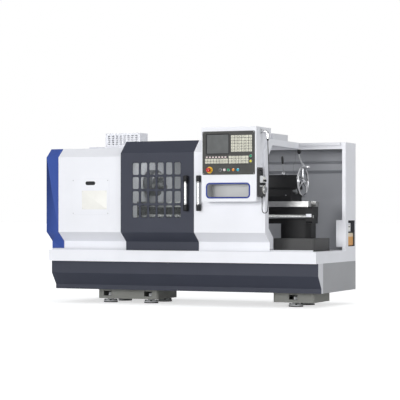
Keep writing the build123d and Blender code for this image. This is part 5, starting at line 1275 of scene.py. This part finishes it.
# Screws along the beam and on the resistor box
p = Piece("guard_fasteners", "frame", "machined", ZINC)
for x in (beam_lo.x + 0.06, 0.0, tray_third, 2 * tray_third, beam_hi.x - 0.05):
    pan_screw(p, (x, beam_hi.y - 0.14, beam_hi.z), Z, 0.005)
lo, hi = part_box("resistor_box")
screw_half = ((hi.x - lo.x) / 2 - 0.010, (hi.z - lo.z) / 2 - 0.010)
box = centre("resistor_box")
for plane, y in ((FRONT, lo.y), (REAR, hi.y)):
    for at in corners(plane, (box.x, y, box.z), screw_half):
        pan_screw(p, at, plane[2], 0.0035)
p.done()

# Stage: pale floor, soft light from the front and sides, and the camera
floor_mesh = bpy.data.meshes.new("studio_floor")
s = 120.0
floor_mesh.from_pydata([(-s, -s, 0), (s, -s, 0), (s, s, 0), (-s, s, 0)], [], [(0, 1, 2, 3)])
floor = place("studio_floor", floor_mesh)
pale = Mat("studio_floor", (0.98, 0.98, 0.98, 1), 0.9)
pale.base(pale.ramp(pale.noise(1.2, 2), [(0.4, (0.86, 0.86, 0.86, 1)), (0.6, (0.88, 0.88, 0.88, 1))]))
pale.b.inputs["Specular IOR Level"].default_value = 0.0
pale.b.inputs["Emission Color"].default_value = (1, 1, 1, 1)
seen_floor = pale.node("ShaderNodeLightPath").outputs["Is Camera Ray"]
pale.t.links.new(pale.math("MULTIPLY", seen_floor, 0.62), pale.b.inputs["Emission Strength"])
floor_mesh.materials.append(pale.m)

world = bpy.data.worlds.new("studio")
bpy.context.scene.world = world
world.use_nodes = True
tree = world.node_tree
tree.nodes.clear()


def world_node(kind, **inputs):
    """A new node of the world's tree with some of its inputs set."""
    n = tree.nodes.new(kind)
    for key, value in inputs.items():
        n.inputs[key].default_value = value
    return n


# The background is white where the camera sees it and dimmer where it lights the machine
lit = world_node("ShaderNodeBackground", Color=(0.96, 0.98, 1.0, 1), Strength=0.38)
seen = world_node("ShaderNodeBackground", Color=(1, 1, 1, 1), Strength=1.0)
rays = world_node("ShaderNodeLightPath")
either = world_node("ShaderNodeMath")
either.operation = "MAXIMUM"
choose = world_node("ShaderNodeMixShader")
tree.links.new(rays.outputs["Is Camera Ray"], either.inputs[0])
tree.links.new(rays.outputs["Is Transmission Ray"], either.inputs[1])
tree.links.new(either.outputs[0], choose.inputs[0])
tree.links.new(lit.outputs[0], choose.inputs[1])
tree.links.new(seen.outputs[0], choose.inputs[2])
tree.links.new(choose.outputs[0], world_node("ShaderNodeOutputWorld").inputs["Surface"])


def sun(name, toward, strength, angle):
    """A broad distant light that shines in a direction."""
    data = bpy.data.lights.new(name, "SUN")
    data.energy = strength
    data.angle = radians(angle)
    place(name, data).rotation_euler = Vector(toward).to_track_quat("-Z", "Y").to_euler()


sun("key_light", (0.20, 0.96, -0.10), 1.22, 20)
sun("fill_light", (-0.42, 0.90, -0.04), 0.80, 25)
sun("side_light", (-0.95, 0.20, -0.20), 0.62, 40)
sun("top_light", (-0.1, 0.15, -1.0), 0.40, 60)

lamp_data = bpy.data.lights.new("work_lamp", "AREA")
lamp_data.shape = "RECTANGLE"
lamp_data.size = 1.0
lamp_data.size_y = 0.3
lamp_data.energy = 3.6
work_lamp = place("work_lamp", lamp_data)
work_lamp.location = (0.10, spindle.y - 0.175, spindle.z + 0.312)
work_lamp.rotation_euler = (radians(20), 0, 0)
work_lamp.visible_camera = False

camera_data = bpy.data.cameras.new("camera")
camera = place("camera", camera_data)
camera.location = (5.973, -13.515, 0.839)
camera.rotation_euler = (radians(90), 0, radians(23.7))
camera_data.sensor_width = 36
camera_data.lens = 140.6
camera_data.shift_y = 0.0375
camera_data.clip_end = 400
bpy.context.scene.camera = camera
bpy.context.scene.view_settings.view_transform = "Standard"
